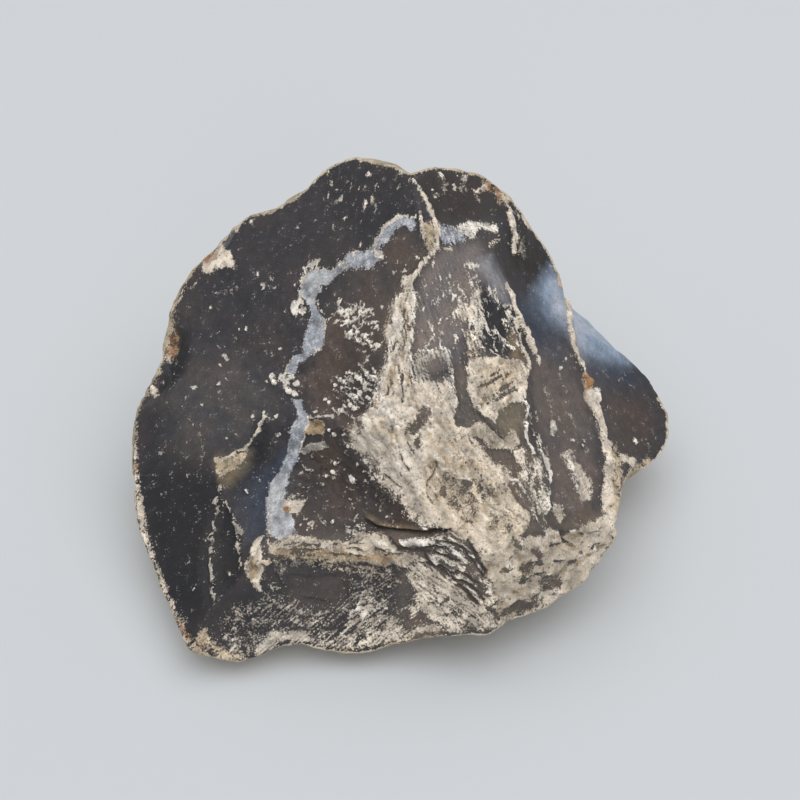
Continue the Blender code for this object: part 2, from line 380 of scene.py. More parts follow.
FLINT_AREAS = [
    # Painted sheen: the middle of the great face lightened where it catches the light.
    Mark("painted_sheen", 0.9, -20, 22, [
        (160, 385), (215, 350), (275, 380), (280, 405), (250, 438), (200, 455), (155, 440),
    ]),
    # Painted shade: the great face darkened towards its lower left.
    Mark("night", 0.95, -14, 16, [
        (138, 480), (180, 462), (222, 478), (214, 540), (216, 610), (190, 640), (160, 590), (145, 540),
    ]),
    # Painted shade: the great face's left edge, and the top facet that turns from the light.
    Mark("smoke", 0.8, -12, 20, [(138, 410), (165, 410), (170, 470), (138, 480)]),
    Mark("smoke", 0.6, -12, 18, [(320, 170), (390, 162), (412, 180), (405, 215), (360, 235), (330, 205)]),
    Mark("night", 0.9, -4, 8, [
        (258, 425), (266, 420), (268, 445), (264, 470), (252, 500), (236, 500), (232, 482), (248, 465),
    ]),
    Mark("night", 1.0, -2, 3, [
        (222, 492), (228, 512), (237, 535), (240, 560), (243, 572), (222, 602), (213, 580), (213, 540),
        (217, 505),
    ]),
    Mark("brown", 0.95, -6, 6, [
        (385, 245), (400, 226), (415, 232), (425, 260), (405, 290), (390, 320), (385, 400), (350, 430),
        (310, 415), (303, 380), (320, 355), (325, 300), (345, 272), (375, 268),
    ]),
    Mark("bark", 0.8, -12, 12, [(330, 345), (385, 330), (388, 400), (355, 425), (320, 400)]),
    Mark("bark", 0.95, -8, 6, [
        (305, 455), (330, 440), (352, 448), (380, 470), (398, 500), (440, 528), (400, 534), (300, 536),
        (288, 500),
    ]),
    # Dust on this facet, lightened further by painted sheen where it faces the light.
    Mark("dusty", 1.0, -8, 4, [
        (437, 250), (480, 240), (488, 262), (480, 290), (470, 320), (466, 350), (456, 392), (450, 365),
        (415, 380), (413, 300), (420, 275),
    ]),
    Mark("grey", 1.0, -8, 6, [
        (530, 350), (560, 330), (580, 380), (595, 430), (600, 500), (550, 540), (548, 470), (528, 400),
    ]),
    Mark("under", 1.0, -6, 6, [
        (388, 300), (405, 285), (414, 300), (412, 380), (450, 380), (470, 350), (522, 360), (528, 440),
        (548, 470), (548, 520), (616, 505), (614, 550), (550, 610), (490, 632), (380, 650), (395, 600),
        (405, 560), (270, 555), (270, 538), (400, 532), (430, 528), (390, 492), (345, 440), (350, 425),
        (378, 405),
    ]),
    Mark("umber", 0.95, -6, 8, [(415, 172), (480, 172), (510, 190), (512, 216), (440, 222), (424, 196)]),
    Mark("umber", 0.9, -10, 8, [(500, 240), (520, 215), (555, 260), (540, 280), (505, 275)]),
    Mark("blue", 0.95, -9, 9, [
        (535, 290), (550, 268), (562, 275), (570, 300), (568, 330), (545, 325), (532, 310),
    ]),
    Mark("deep blue", 0.8, -6, 12, [(505, 300), (535, 300), (565, 340), (560, 360), (535, 345)]),
    Mark("blue", 1.0, -3, 9, [
        (566, 296), (582, 306), (602, 320), (620, 345), (630, 362), (622, 366), (600, 362), (583, 355),
        (576, 340),
    ]),
    Mark("deep blue", 0.8, -5, 12, [(583, 355), (605, 362), (632, 372), (640, 382), (612, 380), (590, 372)]),
    Mark("bark", 0.95, -8, 8, [(605, 400), (640, 400), (655, 440), (650, 462), (620, 460), (608, 430)]),
    Mark("smoke", 0.9, -6, 5, [(484, 285), (505, 288), (516, 320), (522, 356), (490, 357), (482, 330)]),
    Mark("olive", 0.8, -3, 3, [(512, 325), (520, 345), (523, 362), (512, 358), (508, 335)]),
    Mark("olive", 0.9, -2, 2, [
        (363, 510), (378, 520), (396, 525), (424, 527), (400, 531), (384, 529), (372, 523),
    ]),
    Mark("deep blue", 0.9, 2, 12, [(287, 455), (274, 472), (266, 485), (265, 500), (268, 520)]),
    Mark("deep blue", 0.75, -8, 14, [(240, 500), (255, 475), (268, 475), (268, 535), (250, 545), (242, 520)]),
    # Painted shadow: the notch in the left rim, black where its steep wall lies in shade.
    Mark("night", 1.0, -2, 4, [
        (178, 328), (190, 333), (189, 355), (182, 374), (168, 390), (158, 396), (160, 388), (172, 365),
        (180, 347),
    ]),
    Mark("rust", 0.6, -3, 6, [(160, 330), (168, 322), (176, 330), (176, 350), (168, 358), (160, 352)]),
    Mark("milk", 0.5, -6, 6, [
        (478, 262), (490, 256), (497, 270), (505, 286), (508, 304), (498, 300), (486, 283),
    ]),
    Mark("olive", 0.7, -2, 5, [
        (499, 415), (510, 404), (521, 402), (524, 410), (522, 425), (519, 430), (512, 426), (507, 434),
        (500, 430),
    ]),
    Mark("olive", 0.75, -2, 8, [
        (217, 459), (235, 457), (250, 452), (248, 464), (238, 475), (228, 483), (221, 478),
    ]),
    Mark("smoke", 0.8, -6, 8, [(225, 590), (250, 590), (258, 625), (235, 640), (212, 625)]),
    Mark("brown", 0.9, -8, 8, [(280, 570), (345, 572), (352, 600), (335, 610), (290, 605)]),
]
MILKY_AREAS = [
    Mark("milk", 1.0, -1.5, 1.5, [
        (416, 219), (400, 216), (390, 220), (383, 228), (376, 238), (371, 250), (358, 252), (350, 254),
        (340, 262), (333, 270), (318, 270), (306, 273), (301, 282), (301, 296), (309, 304), (312, 316),
        (307, 328), (303, 342), (303, 352), (294, 356), (287, 364), (287, 374), (293, 374), (300, 362),
        (312, 356), (322, 350), (323, 338), (325, 330), (322, 316), (316, 306), (314, 302), (318, 292),
        (321, 285), (331, 284), (336, 277), (344, 270), (352, 268), (371, 268), (376, 263), (382, 260),
        (382, 254), (378, 248), (385, 242), (392, 234), (397, 227), (405, 224), (410, 231), (413, 231),
    ]),
    Mark("milk", 1.0, -2, 2, [
        (291, 400), (303, 400), (305, 412), (311, 418), (306, 430), (303, 442), (300, 452), (297, 462),
        (290, 472), (287, 482), (283, 492), (282, 500), (285, 508), (290, 513), (293, 524), (297, 535),
        (285, 538), (272, 538), (268, 530), (267, 515), (266, 500), (270, 484), (280, 470), (287, 455),
        (289, 440), (292, 428), (297, 418), (297, 410),
    ]),
    Mark("pale milk", 0.8, -2, 5, [
        (270, 485), (285, 478), (284, 495), (290, 515), (295, 532), (272, 536), (268, 510),
    ]),
    Mark("pale milk", 0.6, -1, 3, [
        (320, 271), (333, 271), (338, 276), (322, 286), (314, 300), (306, 300), (308, 280),
    ]),
    Mark("milk", 0.7, -1, 5, [(440, 226), (450, 228), (462, 232), (466, 240), (450, 243), (441, 238)]),
]
DUST_AREAS = [
    Mark("sand", 0.8, -1, 2, [
        (423, 224), (430, 222), (436, 228), (437, 238), (432, 248), (427, 252), (424, 245), (424, 235),
    ]),
    Mark("cream", 0.9, -1, 2, [(403, 277), (412, 275), (412, 285), (407, 290), (402, 284)]),
    Mark("cream", 0.95, -4, 5, [
        (396, 297), (408, 291), (415, 293), (417, 300), (413, 320), (412, 345), (410, 365), (411, 380),
        (405, 400), (402, 420), (398, 440), (385, 430), (377, 400), (380, 385), (379, 375), (386, 362),
        (388, 345), (384, 335), (388, 322), (390, 306),
    ]),
    Mark("cream", 0.97, -6, 10, [
        (381, 384), (400, 390), (412, 382), (425, 380), (440, 378), (448, 382), (452, 388), (456, 398),
        (460, 405), (462, 418), (470, 424), (477, 434), (484, 445), (491, 456), (500, 463), (509, 469),
        (515, 482), (515, 494), (522, 503), (529, 509), (530, 520), (527, 530), (520, 536), (525, 545),
        (500, 552), (480, 552), (462, 538), (450, 532), (437, 527), (426, 526), (419, 518), (410, 515),
        (404, 507), (402, 500), (397, 497), (390, 490), (381, 484), (379, 475), (381, 469), (372, 461),
        (366, 453), (356, 448), (352, 440), (352, 431), (364, 428), (362, 420), (366, 413), (378, 405),
    ]),
    Mark("sand", 0.5, -10, 20, [(440, 440), (480, 450), (520, 510), (520, 540), (450, 530), (430, 500)]),
    Mark("white", 0.75, 0, 6, [(446, 352), (449, 365), (451, 378), (455, 392), (458, 404)]),
    Mark("ash", 0.62, -2, 6, [(415, 355), (440, 352), (450, 358), (450, 382), (415, 384)]),
    Mark("cream", 0.8, -2, 4, [
        (474, 290), (482, 288), (478, 300), (483, 305), (478, 312), (486, 322), (480, 332), (472, 325),
        (462, 322), (452, 312), (460, 306), (468, 303),
    ]),
    Mark("sand", 0.6, -1, 3, [(467, 332), (478, 330), (480, 345), (478, 358), (468, 360), (466, 345)]),
    Mark("white", 0.8, -1, 2, [(463, 266), (468, 261), (476, 262), (480, 265), (475, 268), (466, 268)]),
    Mark("white", 0.85, -1, 3, [
        (454, 228), (470, 222), (485, 224), (498, 225), (497, 233), (488, 232), (478, 228), (472, 240),
        (463, 232),
    ]),
    Mark("cream", 0.6, 1, 4, [(489, 246), (498, 240)]),
    Mark("cream", 0.7, 1.5, 4, [(445, 250), (452, 250)]),
    Mark("cream", 0.9, 1, 3.5, [(475, 192), (482, 188), (495, 188)]),
    Mark("rust", 0.8, 1, 6, [(488, 186), (498, 192), (500, 200)]),
    Mark("cream", 0.95, -1, 2, [
        (467, 362), (480, 359), (500, 359), (515, 361), (523, 364), (524, 375), (522, 390), (520, 400),
        (510, 403), (500, 412), (497, 424), (488, 420), (478, 412), (470, 402), (467, 385),
    ]),
    Mark("sand", 0.5, -2, 8, [(482, 368), (500, 362), (517, 366), (516, 380), (505, 390), (488, 392)]),
    Mark("putty", 0.97, -1, 2, [
        (470, 428), (480, 421), (488, 427), (497, 434), (505, 440), (511, 428), (517, 432), (517, 443),
        (512, 450), (500, 450), (490, 447), (482, 440), (472, 436),
    ]),
    Mark("cream", 0.7, -3, 4, [
        (512, 450), (522, 446), (532, 455), (542, 465), (547, 485), (546, 505), (540, 520), (536, 512),
        (532, 505), (530, 492), (524, 486), (517, 478), (511, 470), (508, 460),
    ]),
    Mark("cream", 0.85, -2, 4, [
        (516, 538), (530, 532), (545, 525), (556, 530), (560, 540), (545, 550), (525, 548),
    ]),
    Mark("white", 1.0, -1, 1.5, [(551, 419), (555, 420), (557, 430), (553, 436), (551, 428)]),
    Mark("cream", 0.75, -1, 4, [
        (562, 455), (570, 450), (575, 460), (583, 470), (592, 486), (588, 500), (583, 500), (577, 485),
        (572, 472),
    ]),
    Mark("cream", 0.85, -1, 3, [(552, 503), (562, 506), (566, 518), (560, 522), (553, 510)]),
    Mark("cream", 1.0, 1.5, 3, [(538, 357), (538, 364)]),
    Mark("putty", 0.95, -2, 3, [
        (268, 550), (276, 542), (290, 536), (302, 535), (312, 538), (330, 541), (348, 541), (357, 533),
        (372, 532), (385, 536), (395, 543), (400, 550), (418, 556), (412, 566), (385, 564), (350, 556),
        (300, 555), (275, 554),
    ]),
    Mark("tan", 0.85, -2, 5, [
        (270, 552), (300, 549), (350, 551), (395, 556), (385, 566), (340, 560), (290, 556),
    ]),
    Mark("white", 1.0, -1, 1.5, [
        (399, 539), (420, 538), (437, 539), (432, 543), (420, 546), (408, 547), (402, 543),
    ]),
    Mark("cream", 0.72, -3, 6, [
        (436, 535), (452, 536), (470, 548), (486, 568), (495, 590), (500, 628), (430, 633), (395, 645),
        (380, 640), (395, 610), (420, 600), (405, 575), (420, 558), (440, 550),
    ]),
    Mark("ash", 0.42, -4, 4, [
        (268, 554), (350, 558), (400, 566), (410, 585), (360, 578), (320, 572), (280, 575),
    ]),
    Mark("cream", 0.62, -3, 5, [
        (352, 612), (366, 592), (380, 600), (390, 612), (400, 600), (420, 612), (425, 632), (380, 645),
        (345, 650), (320, 645), (338, 636),
    ]),
    Mark("cream", 0.8, -1, 3, [
        (270, 632), (290, 630), (305, 633), (316, 640), (300, 643), (280, 643), (262, 658), (255, 650),
    ]),
    Mark("cream", 1.0, -1, 3, [
        (256, 542), (266, 535), (268, 548), (262, 558), (272, 560), (265, 568), (262, 580), (265, 590),
        (258, 588), (250, 578), (247, 568), (250, 555),
    ]),
    Mark("ash", 0.33, -5, 10, [(262, 600), (278, 558), (400, 566), (420, 590), (340, 645), (262, 655)]),
    Mark("ash", 0.38, -3, 6, [
        (240, 600), (265, 605), (270, 625), (262, 645), (240, 660), (215, 650), (225, 615),
    ]),
    Mark("tan", 0.8, -1, 3, [(252, 556), (258, 553), (259, 572), (253, 577)]),
    Mark("sand", 0.8, -1, 6, [
        (195, 640), (215, 652), (240, 663), (262, 658), (240, 655), (215, 645), (205, 630),
    ]),
    Mark("putty", 0.98, -2, 4, [
        (478, 552), (500, 545), (520, 548), (545, 550), (560, 538), (600, 516), (613, 508), (630, 500),
        (630, 530), (624, 560), (600, 594), (556, 622), (500, 645), (496, 600), (488, 575),
    ]),
    Mark("cream", 0.5, -2, 8, [(590, 520), (622, 512), (622, 545), (595, 570), (580, 545)]),
    Mark("cream", 0.6, -1, 6, [(543, 585), (560, 588), (555, 602), (542, 600)]),
    Mark("cream", 1.0, -1, 1.5, [
        (219, 241), (210, 246), (203, 258), (203, 272), (206, 274), (215, 270), (234, 268), (235, 262),
        (230, 252), (224, 247),
    ]),
    Mark("rust", 1.0, 1, 8, [(206, 259), (211, 254)]),
    Mark("rust", 0.75, -2, 4, [
        (166, 322), (176, 322), (180, 340), (180, 352), (172, 362), (166, 352), (164, 338),
    ]),
    Mark("sand", 0.9, -1, 4, [
        (217, 459), (226, 461), (236, 457), (245, 452), (246, 457), (238, 465), (229, 471), (223, 475),
        (219, 468),
    ]),
    Mark("tan", 0.95, -1, 1.5, [(310, 420), (322, 420), (327, 430), (322, 434), (311, 435), (306, 432)]),
    Mark("ash", 1.0, -1, 1.5, [
        (300, 452), (307, 445), (315, 443), (324, 443), (329, 447), (322, 449), (312, 450), (305, 455),
    ]),
    Mark("cream", 1.0, -1, 1.5, [
        (285, 499), (300, 500), (308, 497), (304, 505), (300, 512), (292, 513), (284, 507),
    ]),
    Mark("rust", 1.0, 1.5, 3, [(287, 508), (289, 509)]),
    # Painted glint: a white spot on the ridge above the lobe.
    Mark("white", 1.0, 3, 6, [(595, 392), (596, 399)]),
    Mark("cream", 0.9, 2, 6, [(622, 458), (632, 462)]),
    Mark("sand", 0.9, 3, 8, [(650, 463), (632, 473), (622, 492), (614, 505)]),
]
DUST_LINES = [
    Mark("white", 0.9, 0.8, 2.2, [(412, 178), (418, 188), (422, 196)]),
    Mark("cream", 1.0, 1.6, 3.4, [
        (422, 196), (430, 210), (434, 218), (437, 228), (437, 245), (430, 258), (420, 270), (411, 282),
        (408, 292),
    ]),
    Mark("cream", 0.9, 1.2, 2.6, [(420, 212), (422, 222), (424, 236)]),
    Mark("white", 0.8, 1.0, 2.6, [(414, 294), (413, 320), (411, 345), (410, 372)]),
    Mark("cream", 1.0, 1.8, 3.6, [
        (506, 285), (510, 296), (515, 310), (520, 322), (526, 335), (531, 346), (534, 352),
    ]),
    Mark("cream", 0.95, 1.4, 3.2, [
        (514, 320), (519, 335), (522, 348), (525, 357), (527, 368), (524, 380), (522, 390), (521, 399),
    ]),
    Mark("white", 1.0, 0.8, 2.0, [
        (521, 400), (525, 406), (526, 415), (524, 425), (525, 435), (528, 443), (533, 453),
    ]),
    Mark("white", 1.0, 1.0, 2.4, [(540, 450), (546, 460), (548, 470), (548, 490), (546, 505), (543, 515)]),
    Mark("white", 1.0, 0.9, 2.2, [(511, 478), (518, 481), (524, 488), (530, 494), (530, 500)]),
    Mark("cream", 1.0, 1.6, 4.0, [(503, 192), (509, 207), (512, 220), (514, 235), (514, 252)]),
    Mark("cream", 0.95, 1.2, 3.6, [(566, 300), (569, 325), (573, 345), (579, 362), (585, 378)]),
    Mark("rust", 1.0, 2.0, 5.0, [(585, 376), (587, 388), (588, 398)]),
    Mark("cream", 1.0, 2.2, 5.4, [(589, 393), (595, 410), (601, 428), (606, 445)]),
    Mark("cream", 1.0, 3.4, 8.0, [(606, 445), (609, 465), (608, 485), (606, 508)]),
    Mark("sand", 0.8, 2.0, 8.0, [(613, 452), (617, 470), (615, 490), (613, 505)]),
    Mark("cream", 1.1, 0.6, 1.9, [
        (267, 416), (260, 430), (255, 436), (252, 443), (246, 448), (238, 452), (230, 457), (222, 460),
        (217, 459),
    ]),
    # Painted highlights: thin glints along the two crest lines at the lower left, laid on as dust.
    Mark("ash", 1.1, 0.5, 1.7, [
        (222, 484), (221, 492), (218, 505), (215, 520), (213, 540), (211, 560), (213, 580), (216, 604),
    ]),
    Mark("ash", 1.05, 0.5, 1.7, [(225, 500), (229, 510), (233, 520), (236, 540), (238, 555), (242, 565)]),
    Mark("ash", 0.8, 1.6, 3.6, [(237, 527), (240, 533)]),
    Mark("white", 0.9, 0.6, 1.8, [(310, 417), (322, 417), (334, 416)]),
    Mark("white", 0.8, 0.8, 2.0, [(363, 597), (357, 605), (352, 613), (350, 621)]),
    Mark("ash", 0.5, 0.8, 2.6, [(213, 293), (225, 293), (238, 288)]),
    Mark("ash", 0.5, 0.6, 2.0, [(190, 288), (200, 279)]),
    Mark("ash", 0.42, 0.5, 2.0, [(178, 410), (190, 418), (199, 432), (203, 450), (200, 466)]),
    Mark("white", 0.7, 0.8, 2.2, [(297, 229), (300, 223)]),
    Mark("cream", 0.9, 1.5, 4.0, [(168, 357), (171, 364)]),
    Mark("cream", 0.9, 2.5, 6.0, [(150, 384), (156, 394)]),
    Mark("ash", 0.7, 1.0, 2.5, [(281, 576), (280, 588)]),
    Mark("white", 0.8, 1.2, 2.6, [(455, 336), (457, 348)]),
    Mark("white", 0.8, 0.6, 3.0, [
        (416, 219), (405, 216), (395, 219), (387, 227), (380, 234), (376, 243), (373, 252), (380, 258),
    ]),
    Mark("white", 0.6, 0.6, 3.4, [(344, 262), (333, 270), (320, 268), (307, 272), (301, 281), (301, 297)]),
    Mark("white", 0.6, 0.5, 2.4, [(317, 300), (323, 314), (325, 330), (322, 348), (313, 356)]),
    Mark("white", 0.6, 0.5, 2.6, [(294, 357), (287, 366), (287, 376)]),
    Mark("white", 0.8, 0.6, 2.0, [(310, 418), (307, 430), (303, 442), (300, 452)]),
    Mark("cream", 0.8, 0.4, 1.6, [(270, 504), (269, 520), (270, 545)]),
    Mark("white", 0.75, 0.6, 2.0, [(418, 350), (430, 352), (440, 346), (441, 338)]),
    Mark("white", 0.8, 0.9, 2.6, [(441, 346), (448, 353), (452, 363), (453, 378)]),
    Mark("ash", 0.8, 0.7, 2.2, [(418, 355), (417, 366), (423, 373), (432, 379)]),
    Mark("ash", 0.7, 0.6, 2.4, [
        (263, 591), (272, 599), (284, 607), (300, 612), (320, 613), (345, 607), (362, 596), (374, 588),
    ]),
    Mark("ash", 0.6, 0.6, 2.0, [(266, 606), (280, 618), (296, 628), (312, 636)]),
    Mark("sand", 0.6, 0.8, 2.6, [(268, 560), (300, 557), (345, 562), (372, 570), (392, 582)]),
    Mark("cream", 0.85, 2.0, 6.0, [(135, 415), (133, 450), (137, 490), (142, 525)]),
    Mark("cream", 0.85, 2.5, 7.0, [(142, 525), (152, 562), (166, 597), (178, 628), (188, 648)]),
    Mark("cream", 0.75, 1.2, 4.5, [(204, 247), (192, 268), (181, 296), (170, 322)]),
    Mark("cream", 0.7, 1.0, 4.0, [(219, 238), (240, 222), (265, 208), (296, 192)]),
    Mark("rust", 0.7, 1.0, 3.5, [(137, 466), (138, 472)]),
    Mark("rust", 0.8, 1.0, 4.5, [(180, 622), (190, 636), (202, 648)]),
]

# Single flecks of dust: across, down, and width.
FLECKS = [
    (225, 357, 3.4), (221, 365, 1.8), (227, 379, 2.2), (219, 385, 2.2), (193, 387, 3.0), (212, 308, 2.0),
    (214, 315, 1.6), (263, 284, 2.8), (264, 289, 2.0), (271, 279, 2.2), (275, 287, 1.8), (258, 274, 1.6),
    (241, 330, 1.6), (247, 329, 1.6), (281, 349, 1.8), (216, 401, 1.6), (253, 417, 2.0), (265, 413, 2.6),
    (277, 417, 2.6), (278, 434, 2.8), (361, 245, 3.2), (356, 251, 3.0), (352, 256, 2.6), (311, 264, 4.2),
    (317, 262, 3.6), (305, 268, 3.4), (302, 281, 3.2), (296, 286, 2.0), (295, 308, 5.4), (300, 304, 4.6),
    (296, 314, 3.6), (303, 312, 4.0), (377, 254, 3.6), (381, 258, 3.4), (273, 377, 3.8), (276, 383, 3.6),
    (283, 378, 4.4), (288, 383, 4.6), (294, 378, 4.0), (299, 384, 4.2), (290, 392, 4.2), (296, 395, 3.8),
    (286, 387, 3.0), (405, 270, 2.8), (417, 258, 3.0), (398, 262, 2.0), (385, 264, 2.0), (394, 272, 2.2),
    (351, 312, 2.4), (346, 316, 2.2), (355, 318, 3.0), (348, 322, 3.0), (354, 328, 2.6), (352, 335, 3.6),
    (357, 332, 2.4), (336, 322, 2.6), (342, 328, 2.2), (328, 320, 2.2), (360, 312, 2.4), (365, 337, 2.0),
    (376, 322, 2.2), (383, 307, 2.0), (378, 346, 3.0), (372, 347, 2.2), (367, 356, 2.2), (368, 360, 1.8),
    (336, 385, 2.6), (341, 387, 2.2), (359, 394, 3.0), (357, 398, 2.2), (350, 405, 2.6), (354, 408, 2.8),
    (341, 411, 2.4), (325, 400, 2.2), (329, 403, 2.0), (316, 412, 2.2), (333, 418, 2.4), (374, 398, 1.8),
    (353, 480, 3.8), (351, 477, 2.4), (373, 478, 2.4), (336, 463, 2.4), (366, 461, 3.2), (357, 465, 2.4),
    (372, 466, 2.2), (334, 471, 2.4), (327, 476, 1.8), (358, 526, 3.0), (349, 527, 2.0), (349, 532, 2.0),
    (348, 447, 2.0), (306, 519, 2.2), (302, 524, 1.8), (333, 521, 2.0), (248, 490, 2.4), (253, 472, 1.8),
    (513, 471, 3.2), (561, 368, 2.4), (564, 359, 2.0), (573, 440, 2.2), (582, 441, 2.4), (581, 446, 2.0),
    (440, 176, 2.6), (440, 170, 2.2), (455, 174, 2.2), (455, 186, 2.2), (433, 191, 2.8), (365, 613, 3.6),
    (308, 625, 3.0), (300, 625, 2.4), (252, 223, 2.2), (226, 438, 1.6), (267, 382, 1.4), (203, 404, 1.4),
    (635, 440, 3.0), (335, 434, 2.6), (343, 434, 2.4), (331, 430, 2.0), (227, 577, 2.0), (195, 588, 2.4),
    (232, 640, 3.0), (226, 637, 2.4), (236, 646, 2.4), (341, 200, 2.2), (350, 190, 2.0), (370, 175, 2.4),
    (365, 205, 2.0), (381, 181, 2.0), (330, 196, 1.8), (346, 217, 1.8), (333, 229, 2.2), (341, 229, 1.6),
    (375, 210, 1.8),
]

# Where flint shows through the dust, and cracks, which are cut in and darkened with painted shade.
BARE_AREAS = [
    Patch(0.75, -1, 4, [(419, 417), (424, 408), (431, 409), (428, 418), (420, 427), (412, 434), (408, 428)]),
    Patch(0.6, -1, 5, [(430, 364), (437, 361), (446, 366), (446, 375), (440, 379), (430, 378)]),
    Patch(0.36, -2, 8, [
        (440, 488), (447, 480), (455, 478), (465, 480), (476, 483), (480, 488), (478, 500), (475, 508),
        (467, 515), (460, 514), (452, 506), (445, 497),
    ]),
    Patch(0.85, 2, 4, [(443, 489), (443, 494)]),
    Patch(0.8, 2, 4, [(465, 482), (469, 484)]),
    Patch(0.7, 2, 4, [(417, 440), (417, 445)]),
    Patch(0.95, -1, 2, [
        (473, 436), (482, 440), (492, 450), (510, 450), (516, 460), (522, 470), (517, 477), (508, 467),
        (501, 462), (492, 456), (485, 447), (478, 440),
    ]),
    Patch(1.0, -1, 2, [(510, 483), (516, 490), (525, 505), (531, 506), (528, 510), (520, 503), (514, 496)]),
    Patch(1.0, -1, 3, [(530, 512), (534, 520), (538, 522), (539, 533), (533, 535), (528, 530), (531, 520)]),
    Patch(0.9, -1, 2, [(512, 535), (517, 540), (520, 547), (514, 547)]),
    Patch(0.5, -1, 5, [
        (499, 415), (510, 404), (521, 402), (524, 410), (522, 425), (519, 430), (512, 426), (507, 434),
        (500, 430),
    ]),
    Patch(0.3, -2, 8, [(481, 482), (495, 480), (505, 492), (495, 505), (485, 498)]),
    Patch(0.3, -2, 8, [(495, 515), (510, 518), (512, 530), (498, 530)]),
    Patch(0.95, -1, 3, [
        (455, 345), (463, 338), (466, 350), (466, 360), (466, 372), (467, 390), (469, 402), (474, 412),
        (480, 418), (470, 425), (458, 427), (454, 418), (458, 410), (461, 404), (459, 390), (455, 375),
        (452, 360),
    ]),
    Patch(0.9, -2, 5, [(286, 572), (300, 568), (345, 575), (350, 600), (335, 607), (310, 605), (288, 592)]),
    Patch(0.85, -2, 5, [(393, 590), (405, 582), (413, 590), (410, 605), (396, 606)]),
    Patch(0.7, -2, 6, [(400, 616), (420, 612), (428, 622), (405, 628)]),
    Patch(0.8, 2, 5, [(533, 550), (540, 556), (540, 562)]),
    Patch(0.6, 2, 6, [(556, 580), (562, 586)]),
    Patch(0.55, -1, 8, [(503, 614), (520, 604), (535, 600), (545, 604), (535, 614), (515, 622)]),
    Patch(1.0, 1, 3, [(560, 539), (566, 543)]),
    Patch(0.55, -1, 5, [(520, 566), (531, 564), (532, 580), (521, 580)]),
    Patch(0.55, -1, 5, [(540, 576), (558, 574), (562, 590), (545, 592)]),
    Patch(0.75, 1.5, 4.0, [(488, 606), (500, 620)]),
    Patch(0.75, 1.5, 4.0, [(505, 618), (520, 613), (540, 608)]),
    Patch(0.7, -1, 4, [(547, 516), (553, 516), (553, 526), (548, 526)]),
    Patch(0.8, 1.5, 3.5, [(266, 537), (268, 550), (267, 556)]),
    # The notch in the left rim is bared, so that its painted shadow shows.
    Patch(0.9, -2, 3, [
        (181, 328), (190, 335), (189, 352), (184, 368), (176, 380), (160, 392), (163, 380), (172, 362),
        (180, 352),
    ]),
]
CRACKS = [
    Patch(0.6, 0.3, 1.1, [(399, 446), (401, 456), (404, 463), (409, 470)]),
    Patch(0.6, 0.3, 1.0, [(437, 462), (438, 466), (433, 474), (427, 481), (427, 487)]),
    Patch(0.6, 0.3, 1.0, [(461, 517), (466, 522), (476, 524)]),
    Patch(0.6, 0.4, 1.3, [(478, 413), (486, 423), (497, 435), (505, 442)]),
    Patch(0.8, 0.6, 1.7, [(519, 330), (524, 342), (529, 350)]),
    Patch(0.6, 0.3, 1.2, [
        (409, 292), (406, 305), (404, 322), (402, 340), (399, 352), (399, 370), (403, 385), (403, 402),
    ]),
    # Painted shadow: the crevice under the lip of the ledge.
    Patch(1.0, 1.6, 3.2, [(366, 522), (376, 529), (390, 532), (420, 533), (450, 531)]),
    Patch(0.85, 0.5, 1.8, [(390, 539), (397, 547), (410, 551), (420, 549), (430, 547), (445, 548)]),
    Patch(0.85, 0.5, 1.8, [(398, 550), (412, 551), (430, 552), (445, 556), (458, 562)]),
    Patch(0.85, 0.5, 1.7, [
        (437, 540), (446, 542), (454, 543), (463, 548), (469, 556), (477, 567), (485, 577),
    ]),
    Patch(0.9, 0.8, 2.0, [(468, 540), (472, 549), (478, 560), (486, 573)]),
    Patch(0.9, 0.7, 2.0, [
        (420, 563), (432, 566), (445, 572), (455, 578), (465, 582), (475, 590), (484, 600),
    ]),
    Patch(0.85, 0.5, 1.7, [(440, 566), (452, 572), (462, 574), (472, 580), (483, 590)]),
    Patch(0.9, 0.8, 2.2, [(424, 552), (427, 560), (434, 566)]),
    Patch(0.85, 0.6, 2.0, [(455, 583), (465, 590), (472, 598), (480, 606)]),
    Patch(0.9, 1.4, 3.0, [(470, 598), (476, 602)]),
    Patch(0.8, 1.0, 2.4, [(263, 562), (270, 566), (276, 580), (284, 590)]),
    Patch(0.5, 0.3, 1.2, [(385, 474), (392, 480), (402, 488)]),
]

